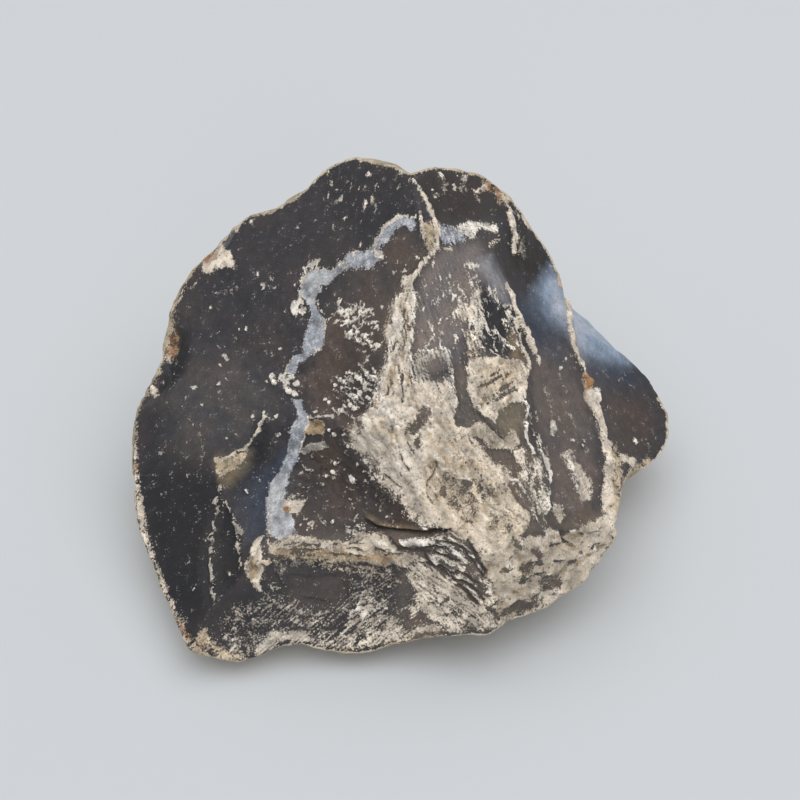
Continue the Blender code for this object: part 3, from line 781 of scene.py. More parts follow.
# Fine strokes that run together: tone, share, width, slant in degrees, length, how many, and where.
Strokes = namedtuple("Strokes", "tone share width slant length count outline")
STROKES = [
    Strokes("white", 0.8, 0.7, 62, 11, 26, [(417, 282), (430, 268), (470, 290), (462, 345), (420, 350)]),
    Strokes("white", 0.9, 0.9, -62, 13, 26, [(452, 296), (478, 268), (486, 300), (488, 350), (468, 350)]),
    Strokes("white", 0.9, 0.9, -52, 6, 22, [(338, 305), (362, 302), (372, 322), (360, 340), (342, 334)]),
    Strokes("white", 0.9, 0.8, -35, 5, 30, [
        (335, 378), (362, 370), (380, 380), (374, 402), (345, 412), (336, 400),
    ]),
    Strokes("white", 0.9, 0.9, -74, 12, 24, [
        (515, 452), (540, 456), (547, 490), (545, 538), (530, 510), (526, 480),
    ]),
    Strokes("white", 0.95, 0.9, -34, 16, 26, [
        (405, 548), (445, 540), (470, 548), (494, 596), (470, 592), (430, 566),
    ]),
    Strokes("cream", 0.9, 1.0, 42, 13, 26, [(372, 600), (420, 588), (430, 625), (380, 645), (340, 645)]),
    Strokes("cream", 0.8, 0.9, 12, 12, 16, [(290, 620), (350, 618), (360, 645), (300, 640)]),
    Strokes("white", 0.6, 0.9, -68, 10, 14, [(556, 450), (575, 450), (592, 495), (580, 505)]),
    Strokes("ash", 0.8, 1.2, 85, 9, 10, [(432, 172), (470, 172), (466, 198), (436, 198)]),
    Strokes("ash", 0.7, 1.0, 85, 10, 12, [(516, 262), (528, 262), (524, 215), (510, 200)]),
    Strokes("cream", 0.9, 0.9, 80, 14, 16, [(388, 300), (416, 292), (414, 345), (405, 390), (384, 400)]),
    Strokes("white", 0.8, 0.6, -8, 14, 12, [(270, 541), (395, 538), (400, 552), (275, 551)]),
    Strokes("white", 0.6, 0.8, 30, 7, 16, [(245, 600), (275, 606), (272, 640), (240, 645)]),
    Strokes("white", 0.9, 0.8, 20, 5, 26, [(330, 300), (368, 300), (385, 345), (372, 360), (340, 345)]),
    Strokes("white", 0.8, 0.8, -50, 7, 30, [(340, 372), (385, 340), (390, 420), (350, 432), (335, 410)]),
    Strokes("white", 0.8, 0.8, -60, 6, 60, [
        (352, 415), (395, 400), (420, 500), (455, 530), (425, 532), (372, 470), (340, 438),
    ]),
    Strokes("ash", 0.8, 0.7, -62, 5, 10, [(298, 514), (322, 512), (340, 528), (306, 528)]),
    Strokes("ash", 0.7, 0.7, -3, 12, 6, [(283, 486), (306, 486), (306, 500), (283, 500)]),
    Strokes("white", 0.7, 0.8, 70, 6, 14, [(345, 515), (365, 515), (365, 536), (345, 536)]),
    Strokes("sand", 0.8, 1.0, -30, 12, 20, [
        (275, 556), (350, 558), (400, 566), (420, 590), (380, 580), (300, 570),
    ]),
    Strokes("white", 0.6, 0.7, 40, 7, 18, [(278, 570), (345, 570), (360, 612), (300, 615)]),
    Strokes("ash", 0.7, 0.8, -40, 8, 14, [(245, 590), (275, 590), (300, 620), (260, 625)]),
    Strokes("cream", 0.8, 1.0, 20, 9, 14, [(480, 440), (510, 445), (500, 470), (520, 500), (490, 500)]),
    Strokes("ash", 0.5, 1.0, -68, 18, 12, [(530, 370), (560, 350), (590, 450), (596, 500), (556, 510)]),
    Strokes("white", 0.9, 0.9, -45, 6, 24, [(338, 303), (366, 300), (380, 330), (365, 345), (342, 340)]),
    Strokes("white", 0.9, 0.9, -25, 5, 30, [
        (335, 378), (362, 368), (386, 380), (378, 408), (345, 414), (332, 400),
    ]),
    Strokes("white", 0.9, 0.8, -60, 9, 40, [(480, 285), (505, 290), (520, 350), (495, 358), (482, 330)]),
    Strokes("white", 0.8, 0.6, 30, 1.6, 60, [
        (300, 440), (350, 445), (395, 500), (400, 530), (300, 535), (290, 490),
    ]),
    Strokes("ash", 0.8, 0.6, 10, 1.4, 46, [(150, 300), (290, 300), (280, 520), (150, 520)]),
    Strokes("ash", 0.8, 0.7, 70, 2.5, 40, [(330, 172), (405, 172), (400, 210), (320, 215)]),
    Strokes("white", 0.8, 0.6, 60, 5, 40, [(415, 290), (436, 262), (474, 262), (466, 345), (420, 350)]),
    Strokes("ash", 0.8, 0.6, 35, 4, 50, [(275, 562), (400, 566), (415, 588), (360, 612), (300, 612)]),
    Strokes("white", 0.8, 0.6, -34, 10, 24, [(425, 545), (470, 548), (494, 596), (480, 600), (440, 570)]),
    Strokes("white", 0.7, 0.6, -76, 8, 16, [(524, 400), (536, 410), (548, 470), (536, 450)]),
    Strokes("tan", 0.9, 1.3, 25, 8, 26, [(485, 555), (600, 520), (612, 545), (560, 596), (500, 618)]),
    Strokes("white", 0.9, 0.8, 30, 4, 40, [(485, 555), (600, 520), (612, 545), (560, 596), (500, 618)]),
    Strokes("grey", 0.9, 0.8, 20, 5, 30, [(485, 555), (600, 520), (612, 545), (560, 596), (500, 618)]),
    Strokes("tan", 0.9, 1.2, -58, 10, 30, [
        (388, 400), (440, 390), (468, 440), (520, 520), (480, 540), (400, 480), (372, 440),
    ]),
    Strokes("white", 0.95, 0.9, -52, 7, 50, [
        (388, 400), (440, 390), (468, 440), (520, 520), (480, 540), (400, 480), (372, 440),
    ]),
    Strokes("white", 0.9, 0.9, 84, 8, 20, [(392, 300), (412, 296), (408, 390), (386, 400)]),
    Strokes("tan", 0.9, 1.0, 84, 10, 16, [(392, 300), (412, 296), (408, 390), (386, 400)]),
    Strokes("tan", 0.9, 0.9, 55, 9, 16, [(472, 366), (518, 366), (518, 396), (498, 418), (472, 396)]),
    Strokes("ash", 0.7, 0.8, -20, 6, 16, [(310, 440), (360, 455), (380, 480), (330, 500), (300, 480)]),
]
GAPS = [
    Strokes("flint", 0.95, 0.8, 33, 12, 16, [(484, 374), (516, 368), (520, 392), (492, 402), (480, 392)]),
    Strokes("flint", 0.9, 0.9, -74, 12, 14, [
        (515, 452), (540, 456), (547, 490), (545, 538), (530, 510), (526, 480),
    ]),
    Strokes("flint", 0.95, 1.0, -34, 17, 24, [
        (405, 548), (445, 540), (470, 548), (494, 596), (470, 592), (430, 566),
    ]),
    Strokes("flint", 0.9, 0.9, 42, 12, 18, [(372, 600), (420, 588), (430, 625), (380, 645), (340, 645)]),
    Strokes("flint", 0.7, 0.5, -56, 10, 30, [
        (390, 400), (450, 385), (475, 450), (500, 520), (440, 520), (390, 470),
    ]),
    Strokes("flint", 0.9, 0.8, 78, 12, 14, [(388, 300), (416, 292), (414, 345), (405, 390), (384, 400)]),
    Strokes("flint", 0.9, 0.9, 28, 11, 16, [(490, 555), (600, 520), (610, 545), (540, 605), (495, 620)]),
    Strokes("flint", 0.8, 0.6, -5, 18, 26, [(275, 542), (395, 540), (400, 556), (280, 554)]),
    Strokes("flint", 0.9, 0.9, 24, 8, 16, [(400, 605), (490, 590), (492, 628), (400, 632)]),
]

# What stands up from the scars and what lies deeper, in mm, in the share's place.
RAISED = [
    Patch(0.9, -5, 4, [
        (256, 540), (268, 536), (272, 548), (268, 560), (272, 572), (264, 590), (256, 588), (247, 570),
        (250, 552),
    ]),
    Patch(0.5, 0.8, 4.5, [
        (412, 178), (422, 196), (432, 212), (437, 228), (435, 248), (424, 264), (411, 282), (405, 300),
        (402, 340), (400, 370),
    ]),
    Patch(0.5, 1.0, 5, [(500, 278), (506, 288), (514, 310), (524, 332), (533, 350)]),
    Patch(0.5, 0.8, 4, [
        (524, 355), (527, 370), (522, 392), (526, 410), (525, 430), (530, 446), (540, 456), (547, 472),
        (547, 500), (540, 530),
    ]),
    Patch(0.7, 0.5, 5, [(467, 358), (480, 358), (500, 359), (522, 363)]),
    Patch(0.6, 1.5, 6, [(470, 400), (480, 412), (490, 424), (504, 438), (515, 440)]),
    Patch(0.5, 1.0, 5, [(402, 543), (420, 542), (437, 541)]),
    Patch(0.5, 1.0, 5, [(267, 416), (259, 431), (252, 443), (238, 452), (217, 459)]),
    Patch(0.5, 1.0, 4, [(219, 470), (222, 492), (216, 520), (212, 550), (217, 608)]),
    Patch(0.4, 1.0, 4, [(303, 420), (316, 417), (335, 417)]),
    Patch(0.5, -2, 4, [(286, 500), (300, 499), (308, 500), (300, 511), (288, 511)]),
    Patch(0.5, -2, 4, [(280, 376), (300, 374), (302, 390), (292, 398), (272, 384)]),
    Patch(0.5, -2, 3, [(293, 300), (303, 300), (305, 312), (297, 316), (291, 310)]),
    Patch(0.4, 1.0, 4, [(566, 306), (573, 345), (585, 380), (597, 410), (607, 445), (609, 500)]),
    Patch(0.6, -1, 5, [(515, 540), (530, 530), (548, 524), (556, 534), (540, 548), (522, 548)]),
    Patch(0.5, 2.0, 8, [(480, 548), (500, 546), (530, 549), (560, 538), (600, 524)]),
]
SUNK = [
    Patch(1.0, 1.2, 4.5, [(368, 526), (378, 530), (395, 533), (420, 534), (450, 532)]),
    Patch(0.8, -3, 4, [
        (455, 345), (465, 340), (466, 372), (468, 398), (478, 412), (480, 420), (466, 426), (455, 425),
        (455, 412), (460, 400), (455, 375),
    ]),
    Patch(0.6, -3, 4, [
        (472, 438), (484, 446), (510, 451), (520, 470), (533, 490), (530, 506), (520, 500), (505, 475),
        (488, 470), (478, 452),
    ]),
    Patch(1.2, 0.5, 4, [(560, 541), (567, 544)]),
    Patch(0.5, -2, 4, [(286, 578), (340, 576), (350, 600), (320, 606), (290, 600)]),
    Patch(0.7, -2, 5, [(222, 500), (232, 520), (240, 560), (230, 590), (216, 580), (214, 540)]),
    Patch(0.5, -2, 4, [(486, 374), (514, 366), (518, 388), (494, 398)]),
    Patch(0.5, -3, 5, [(496, 420), (520, 402), (523, 428), (512, 427), (505, 436)]),
    Patch(0.8, 0.8, 3, [(258, 591), (268, 606), (280, 616)]),
    Patch(0.6, 1.0, 4, [(300, 602), (330, 606), (350, 602), (372, 590)]),
    Patch(0.6, 1.0, 5, [(300, 370), (294, 373)]),
]

# Where the rim stands further out than the scars alone leave it, or has a nick, in mm.
RIM_STEPS = [
    Patch(0.9, 4, 22, [(166, 292), (162, 318), (158, 345)]),
    Patch(0.6, 3, 16, [(199, 250), (210, 240)]),
    Patch(-0.9, 1, 12, [(407, 165), (412, 171)]),
    Patch(-0.45, 4, 18, [(268, 206), (298, 190)]),
    Patch(-1.6, 8, 30, [(606, 562), (592, 582), (570, 598), (545, 613), (518, 623)]),
    Patch(0.7, 4, 18, [(240, 664), (256, 662)]),
    Patch(-0.8, 3, 16, [(286, 650), (300, 650)]),
]

# A blow leaves ripples that run out from where it struck.
Ripple = namedtuple("Ripple", "middle radius width spacing height outline")
RIPPLES = [
    Ripple((120, 420), 75, 30, 17, 0.07, [(140, 380), (230, 380), (235, 480), (140, 500)]),
    Ripple((150, 230), 110, 60, 26, 0.06, [(190, 230), (300, 220), (280, 380), (180, 380)]),
    Ripple((290, 520), 60, 55, 11, 0.08, [(290, 440), (380, 450), (440, 530), (290, 535)]),
    Ripple((300, 560), 60, 50, 12, 0.08, [(285, 565), (400, 570), (390, 620), (290, 612)]),
    Ripple((560, 240), 130, 90, 24, 0.06, [(540, 330), (575, 330), (600, 500), (552, 500)]),
]


# How far the outlines wander in frame units, and the grains in mm that they wander by, with their
# shares. The last value keeps the wander across apart from the wander down.
WANDER = 1.6
WANDER_GRAINS = ((2.4, 1.0), (0.8, 0.5))
AXES_APART = 31.7

# What chance does to a stroke: turn in degrees, half length, bow, share, and its full and gone widths.
STROKE_TURN = 7
STROKE_HALVES = (0.3, 0.75)
STROKE_SHORTER = 1.2
STROKE_BOW = 0.08
STROKE_SHARES = (0.6, 1)
STROKE_FULL, STROKE_GONE = 0.6, 2.2


def wandering(points, reach):
    """Where the points are seen, with a small wander, so that no outline runs smooth."""
    seen = seen_at(points)
    for size, share in WANDER_GRAINS:
        for axis in (0, 1):
            seen[:, axis] += reach * share * noise_at(points + AXES_APART * (axis + 1), size)
    return seen


whole = HEART + skin
spots = wandering(whole, WANDER)


def off_line(line):
    """How far each of the stone's points is seen from a line, in frame units."""
    nearest = np.full(len(spots), np.inf)
    for start, end in zip(np.array(line[:-1], float), np.array(line[1:], float)):
        run = end - start
        along = np.clip((spots - start) @ run / (run @ run), 0, 1)
        nearest = np.minimum(nearest, np.linalg.norm(spots - start - along[:, None] * run, axis=1))
    return nearest


def off_outline(outline):
    """The same for an outline, and below zero inside it."""
    closed = outline + outline[:1]
    inside = np.zeros(len(spots), bool)
    for (x0, y0), (x1, y1) in zip(closed[:-1], closed[1:]):
        crosses = (y0 > spots[:, 1]) != (y1 > spots[:, 1])
        if y0 != y1:
            inside ^= crosses & (spots[:, 0] < x0 + (spots[:, 1] - y0) * (x1 - x0) / (y1 - y0))
    distance = off_line(closed)
    return np.where(inside, -distance, distance)


def fading(distance, full, gone):
    """1 where the distance is under `full`, and 0 where it is over `gone`."""
    return np.clip((gone - distance) / (gone - full), 0, 1)


def cover(mark):
    """How much of a mark lies on each point. An outline is full inside, and a line has a width."""
    distance = off_line(mark.points) if mark.full > 0 else off_outline(mark.points)
    return mark.share * fading(distance, mark.full, mark.gone)


def within(point, outline):
    """Whether one point of the frame is inside an outline."""
    across, down = point
    inside = False
    for (x0, y0), (x1, y1) in zip(outline, outline[1:] + outline[:1]):
        if (y0 > down) != (y1 > down) and across < x0 + (down - y0) * (x1 - x0) / (y1 - y0):
            inside = not inside
    return inside


def drawn(strokes, seed):
    """Short lines scattered inside an outline, all on about the same slant."""
    chance = np.random.default_rng(seed)
    low, high = np.min(strokes.outline, axis=0), np.max(strokes.outline, axis=0)
    lines = []
    while len(lines) < strokes.count:
        middle = chance.uniform(low, high)
        if within(middle, strokes.outline):
            slant = math.radians(strokes.slant + chance.normal(0, STROKE_TURN))
            half = strokes.length * chance.uniform(*STROKE_HALVES) / STROKE_SHORTER
            bow = chance.normal(0, STROKE_BOW) * half
            along = np.array((math.cos(slant), -math.sin(slant)))
            points = [middle - along * half, middle + along[::-1] * (-bow, bow), middle + along * half]
            share = strokes.share * chance.uniform(*STROKE_SHARES)
            edges = (strokes.width * STROKE_FULL, strokes.width * STROKE_GONE)
            lines.append(Mark(strokes.tone, share, *edges, points))
    return lines


def linear(code):
    """An sRGB hex colour as the linear colour that a shader takes."""
    parts = [int(code[i:i + 2], 16) / 255 for i in (1, 3, 5)]
    return tuple(c / 12.92 if c <= 0.04045 else ((c + 0.055) / 1.055) ** 2.4 for c in parts) + (1.0,)


def all_over(tone):
    """One tint for every point of the stone."""
    return np.tile(linear(TONES[tone]), (len(skin), 1))


def laid_on(ground, tone, share):
    """The ground's tints with a tone over them, as much as the share says."""
    return ground * (1 - share[:, None]) + np.array(linear(TONES[tone])) * share[:, None]


# The flint's own tints, and the milk's, which reaches a little past its edge.
MILK_PAST_EDGE = 2
flint_tint = all_over("flint")
for mark in FLINT_AREAS:
    flint_tint = laid_on(flint_tint, mark.tone, cover(mark))
milk_tint = all_over("milk")
for mark in MILKY_AREAS:
    edge = fading(off_outline(mark.points), mark.gone, mark.gone + MILK_PAST_EDGE)
    milk_tint = laid_on(milk_tint, mark.tone, edge)
milk = np.max([cover(mark) for mark in MILKY_AREAS], axis=0)

# The dust is laid on in areas and lines, flecks and strokes, and then rubbed and cracked away again.
TINT_OVER_SHARE = 1.2
FLECK_FULL, FLECK_GONE = 0.6, 1.1
FIRST_GAP_SEED = 100
LOST_IN_CRACKS = 0.9
dust_tint = all_over("cream")
dust = np.zeros(len(skin))
for mark in DUST_AREAS + DUST_LINES:
    share = cover(mark)
    dust = np.maximum(dust, share)
    dust_tint = laid_on(dust_tint, mark.tone, np.minimum(share * TINT_OVER_SHARE, 1))
for across, down, size in FLECKS:
    away = np.linalg.norm(spots - (across, down), axis=1)
    share = fading(away, size * FLECK_FULL, size * FLECK_GONE)
    dust = np.maximum(dust, share)
    dust_tint = laid_on(dust_tint, "white", share)
for seed, strokes in enumerate(STROKES):
    for mark in drawn(strokes, seed):
        share = cover(mark)
        dust = np.maximum(dust, share)
        dust_tint = laid_on(dust_tint, mark.tone, share)
for patch in BARE_AREAS:
    dust *= 1 - cover(patch)
for seed, strokes in enumerate(GAPS):
    for mark in drawn(strokes, FIRST_GAP_SEED + seed):
        dust *= 1 - cover(mark)
shaded_crack = np.max([cover(patch) for patch in CRACKS], axis=0)
dust *= 1 - LOST_IN_CRACKS * shaded_crack

# The rind is left where no scar cut it. Its edge is ragged, and lies on the side turned from the eye,
# but for the top of the lobe, which is broken all over. The first two values are in mm below the rind.
BROKEN_FULL, BROKEN_GONE = 0.9, 0.3
RAGGED_FULL, RAGGED_GONE = 0.5, 0.3
RIM_GRAIN = 3.5
TURNED_FULL, TURNED_GONE = 0.25, 0.45
LOBE_TURNED_FULL, LOBE_TURNED_GONE = 0.5, 0.62
LOBE_TOP = Patch(1, -1, 4, [
    (556, 288), (574, 288), (606, 312), (652, 362), (668, 396), (640, 396), (600, 352), (574, 332),
])
under_rind = radii[0] - radii.min(0)
rim_noise = noise_at(whole, RIM_GRAIN, 2)
towards_eye = unit(skin) @ unit(np.array([EYE - HEART]))[0]
broken = fading(
    -under_rind, -BROKEN_FULL - RAGGED_FULL * rim_noise, -BROKEN_GONE - RAGGED_GONE * rim_noise
)
broken = broken * fading(-towards_eye, TURNED_FULL, TURNED_GONE)
lobe_top = cover(LOBE_TOP) * fading(-towards_eye, LOBE_TURNED_FULL, LOBE_TURNED_GONE)
broken = np.maximum(broken, lobe_top)
rind = 1 - broken
for values in (dust, shaded_crack, milk):
    values *= 1 - rind
dust = np.maximum(dust, 0)


def along_grain(points, slant, length, width):
    """The points in a frame turned so that noise on it makes grains of a length and a width in mm."""
    up = points @ (0.0, math.sin(LOOK_DOWN), math.cos(LOOK_DOWN))
    out = points @ (0.0, -math.cos(LOOK_DOWN), math.sin(LOOK_DOWN))
    turn = math.radians(slant)
    along = points[:, 0] * math.cos(turn) + up * math.sin(turn)
    across = up * math.cos(turn) - points[:, 0] * math.sin(turn)
    return np.c_[along / length, across / width, out / width]


# Some of the broken side is ridged on a slant: the thin layers beside the ledge, the front face, and
# the slope under the ridge. The lower right is lumpy all over.
STRIPED = Patch(1, -6, 8, [
    (400, 536), (450, 530), (480, 540), (505, 600), (500, 632), (470, 632), (420, 600), (400, 560),
])
RISING = Patch(1, -6, 10, [
    (262, 600), (350, 590), (380, 575), (420, 590), (432, 632), (380, 650), (320, 655), (262, 655),
])
STEEP = Patch(1, -8, 8, [
    (385, 300), (400, 250), (436, 215), (490, 225), (530, 340), (550, 460), (548, 540), (500, 500),
    (470, 420), (400, 420), (380, 400),
])
UNEVEN = Patch(1, -8, 8, [
    (478, 552), (560, 532), (618, 500), (613, 550), (550, 610), (490, 640), (380, 650), (400, 600),
    (440, 560),
])
striped = cover(STRIPED)
rising = cover(RISING) * (1 - striped)
steep = cover(STEEP)
uneven = cover(UNEVEN) * (1 - rind)

# Slants are in degrees, first of the ridges and then of the colour along them. Height and width in mm.
Ridged = namedtuple("Ridged", "name area height slant colour_slant width")
RIDGED = [
    Ridged("striped", striped, 0.35, -34, -34, 0.9),
    Ridged("rising", rising, 0.22, 35, 38, 1.1),
    Ridged("steep", steep, 0.15, -72, -72, 1.0),
]
RIDGE_LENGTH = 5.0

# The relief of the crust, the rind and the bare flint. Heights and grain sizes are in mm, and a shift
# keeps one grain apart from another.
ROUGH_GRAIN = 2.2
CRUST, CRUST_ROUGH = 0.25, 0.45
CRACK_DEPTH = 0.8
RIND_ROUGH = 0.15
RIND_SWELL, RIND_SWELL_GRAIN = 0.35, 7.0
FLINT_SWELL, FLINT_SWELL_GRAIN = 0.14, 5.0
RIPPLE_FADE = 1.6
RIPPLE_EDGE = (-4, 6)
RIPPLE_UNEVENNESS = 2
BIG_LUMP, BIG_LUMP_GRAIN = 0.9, 4.5
SMALL_LUMP, SMALL_LUMP_GRAIN = 0.45, 1.6
FOLD, FOLD_SLANT, FOLD_LENGTH, FOLD_WIDTH = 0.4, -58, 6.0, 1.6
SWELL, SWELL_GRAIN, SWELL_SHIFT = 0.6, 3.2, 9.0
RIND_DENT, RIND_DENT_GRAIN, RIND_DENT_FROM = 1.4, 4.2, 0.35
RAISED_ROUGH = 0.4

rough = noise_at(whole, ROUGH_GRAIN, 4)
lift = dust * (CRUST + CRUST_ROUGH * rough) - CRACK_DEPTH * shaded_crack
lift += rind * (RIND_ROUGH * rough + RIND_SWELL * noise_at(whole, RIND_SWELL_GRAIN, 2))
for kind in RIDGED:
    ridges = noise_at(along_grain(whole, kind.slant, RIDGE_LENGTH, kind.width), 1.0, 2)
    lift += kind.height * kind.area * ridges
lift += FLINT_SWELL * (1 - rind) * noise_at(whole, FLINT_SWELL_GRAIN, 4)
for ring in RIPPLES:
    away = np.linalg.norm(spots - ring.middle, axis=1)
    share = fading(np.abs(away - ring.radius), ring.width, ring.width * RIPPLE_FADE)
    share = share * (1 - rind) * (1 - dust)
    wave = np.sin(away / ring.spacing * 2 * np.pi + RIPPLE_UNEVENNESS * rough)
    lift += ring.height * share * fading(off_outline(ring.outline), *RIPPLE_EDGE) * wave
lumps = BIG_LUMP * noise_at(whole, BIG_LUMP_GRAIN, 3) + SMALL_LUMP * noise_at(whole, SMALL_LUMP_GRAIN, 2)
folds = noise_at(along_grain(whole, FOLD_SLANT, FOLD_LENGTH, FOLD_WIDTH), 1.0, 3)
swells = noise_at(whole + SWELL_SHIFT, SWELL_GRAIN, 3)
dents = np.clip(noise_at(whole, RIND_DENT_GRAIN, 2) - RIND_DENT_FROM, 0, 1)
crust_shape = SWELL * swells + FOLD * folds * (1 - uneven)
lift += uneven * lumps + dust * crust_shape - rind * RIND_DENT * dents

# Painted shade where the crust lies low and along the fine creases that part it, which are also cut in, and
# painted highlight on its high spots.
LUMP_SHADE, SWELL_SHADE, FOLD_SHADE, ROUGH_SHADE = 1.1, 0.7, 0.8, 0.6
SHADE_LEVEL, SHADE_SPREAD = 0.5, 0.6
CREASE_LENGTH, CREASE_WIDTH = 9.0, 3.4
CREASE_FULL, CREASE_GONE = 0.012, 0.06
FREE_CREASE, FREE_CREASE_GRAIN, FREE_CREASE_SHIFT = 0.8, 6.0, 50.0
FREE_CREASE_FULL, FREE_CREASE_GONE = 0.01, 0.045
CREASED_GRAIN, CREASED_SHIFT = 8.0, 80.0
CREASED_FULL, CREASED_GONE = 0.3, 0.12
CREASE_DEPTH = 0.45
low_lumps = np.clip(uneven * -LUMP_SHADE * lumps, -1, 1)
low_crust = np.clip((1 - uneven) * -(SWELL_SHADE * swells + FOLD_SHADE * folds + ROUGH_SHADE * rough), -1, 1)
relief_shade = np.clip(SHADE_LEVEL + SHADE_SPREAD * (low_lumps + low_crust), 0, 1)
along_folds = np.abs(noise_at(along_grain(whole, FOLD_SLANT, CREASE_LENGTH, CREASE_WIDTH), 1.0, 3))
freely = np.abs(noise_at(whole + FREE_CREASE_SHIFT, FREE_CREASE_GRAIN, 4))
crease = np.maximum(
    fading(along_folds, CREASE_FULL, CREASE_GONE) * (1 - uneven),
    FREE_CREASE * fading(freely, FREE_CREASE_FULL, FREE_CREASE_GONE),
)
creased = -np.abs(noise_at(whole + CREASED_SHIFT, CREASED_GRAIN, 2))
crease *= fading(creased, -CREASED_FULL, -CREASED_GONE) * (1 - rind)
lift -= CREASE_DEPTH * dust * crease
relief_shade = np.maximum(relief_shade, crease)

for patch in RAISED:
    lift += cover(patch) * (1 - rind) * (1 + RAISED_ROUGH * rough)
for patch in SUNK:
    lift -= cover(patch) * (1 - rind)
for patch in RIM_STEPS:
    lift += cover(patch)
points = HEART + ways * (radii.min(0) + lift)[:, None]
points[:, 2] = np.maximum(points[:, 2], 0)

# Crumbs are thickest on rough dust, and some stick along both edges of the milky band.
BAND_EDGES = ((MILKY_AREAS[0], 1), (MILKY_AREAS[1], 0.6))
BAND_EDGE = (1, 4)
CRUMBS, CRUMBS_BY_ROUGH, CRUMBS_LOST_UNEVEN, CRUMBS_ON_BAND = 0.5, 0.9, 0.7, 0.5
band_edge = sum(
    share * fading(np.abs(off_outline(area.points)), *BAND_EDGE) for area, share in BAND_EDGES
)
crumbly = dust * (CRUMBS + CRUMBS_BY_ROUGH * rough) * (1 - CRUMBS_LOST_UNEVEN * uneven)
crumbly = np.clip(crumbly + CRUMBS_ON_BAND * band_edge * (1 - rind), 0, 1)

SHARES = {
    "dust": dust, "milk": milk, "rind": rind, "shaded_crack": shaded_crack, "striped": striped, "rising": rising,
    "steep": steep, "relief_shade": relief_shade, "crumbs": crumbly,
}
TINTS = {"flint_tint": flint_tint, "milk_tint": milk_tint, "dust_tint": dust_tint}
mesh = bpy.data.meshes.new("broken_nodule")
mesh.from_pydata((points * MM).tolist(), [], triangles.tolist())
mesh.update()
for name, values in SHARES.items():
    mesh.attributes.new(name, "FLOAT", "POINT").data.foreach_set("value", values.astype(np.float32))
for name, values in TINTS.items():
    colours = mesh.attributes.new(name, "FLOAT_COLOR", "POINT").data
    colours.foreach_set("color", values.astype(np.float32).ravel())
bm = bmesh.new()
bm.from_mesh(mesh)
bmesh.ops.recalc_face_normals(bm, faces=bm.faces[:])
bm.to_mesh(mesh)
bm.free()
mesh.shade_smooth()
nodule = bpy.data.objects.new("broken_nodule", mesh)
bpy.context.scene.collection.objects.link(nodule)


# The nodule's flint and chalk.
# Black flint is quartz too fine-grained to see, and breaks like glass: dark, cloudy, and satin rather
# than bright, since dust sticks to it. The chalk on it is matt and grainy, and the rind is hard chalk.
# One material holds them all, since they are one stone, and the shares above say where each lies.
FLINT_IOR = 1.47
FLINT_ROUGHNESS, CHALK_ROUGHNESS = 0.42, 0.92
FLINT_RELIEF, CHALK_RELIEF = 0.35, 1.0
RELIEF_DEPTH = 0.5 * MM
RELIEF_STRENGTH = 0.7

# How wide the features of each pattern are, in mm: the flint's clouds, the chalk's blotches and grains,
# the streaks' length and width, the thin places in the milk, and the grey patches of the rind.
CLOUD, BLOTCH, SPECK = 11.1, 1.92, 0.435
STREAK_LONG, STREAK_WIDE = 3.85, 0.526
MILK_DEPTH = 3.03
GREY_PATCH = 22.2
SCALE_STEP = 5.0


def add(tree, kind, inputs=None, **settings):
    """
    Adds a node with its settings and links. An input's value is a number, a colour or another node's
    output. A map range takes its value, the range it comes from and the range it goes to as 0 to 4,
    and a colour mix takes its share as 0 and its two colours as 6 and 7.
    """
    made = tree.nodes.new(kind)
    for name, value in settings.items():
        setattr(made, name, value)
    for key, value in (inputs or {}).items():
        if isinstance(value, bpy.types.NodeSocket):
            tree.links.new(value, made.inputs[key])
        else:
            made.inputs[key].default_value = value
    return made


def to_the_metre(size):
    """A pattern's scale, which is how many of its features fill a metre, from their width in mm."""
    return SCALE_STEP * round(1 / MM / size / SCALE_STEP)


flint = bpy.data.materials.new("black flint")
flint.use_nodes = True
tree = flint.node_tree
tree.nodes.clear()
place = add(tree, "ShaderNodeTexCoord").outputs["Object"]
shares = {
    name: add(tree, "ShaderNodeAttribute", attribute_name=name).outputs["Fac"]
    for name in SHARES if name != "crumbs"
}
tints = {name: add(tree, "ShaderNodeAttribute", attribute_name=name).outputs["Color"] for name in TINTS}


def spotted(size, least, most, soft, strength, ragged=None):
    """
    Round spots, one at most in each cell of a size in mm. Cells whose chance is under `least` stay
    empty, and the others' spots are up to `most` of a cell wide, with an edge `soft` cells wide.
    """
    cells = add(tree, "ShaderNodeTexVoronoi", {"Vector": place, "Scale": to_the_metre(size)})
    chance = {0: cells.outputs["Color"], 1: least, 2: 1.0, 3: 0.0, 4: most}
    reach = add(tree, "ShaderNodeMapRange", chance).outputs[0]
    inside = {0: reach, 1: cells.outputs["Distance"]}
    spot = add(tree, "ShaderNodeMath", inside, operation="SUBTRACT").outputs[0]
    if ragged:
        spot = add(tree, "ShaderNodeMath", {0: spot, 1: ragged}, operation="ADD").outputs[0]
    return add(tree, "ShaderNodeMapRange", {0: spot, 1: 0.0, 2: soft, 3: 0.0, 4: strength}).outputs[0]


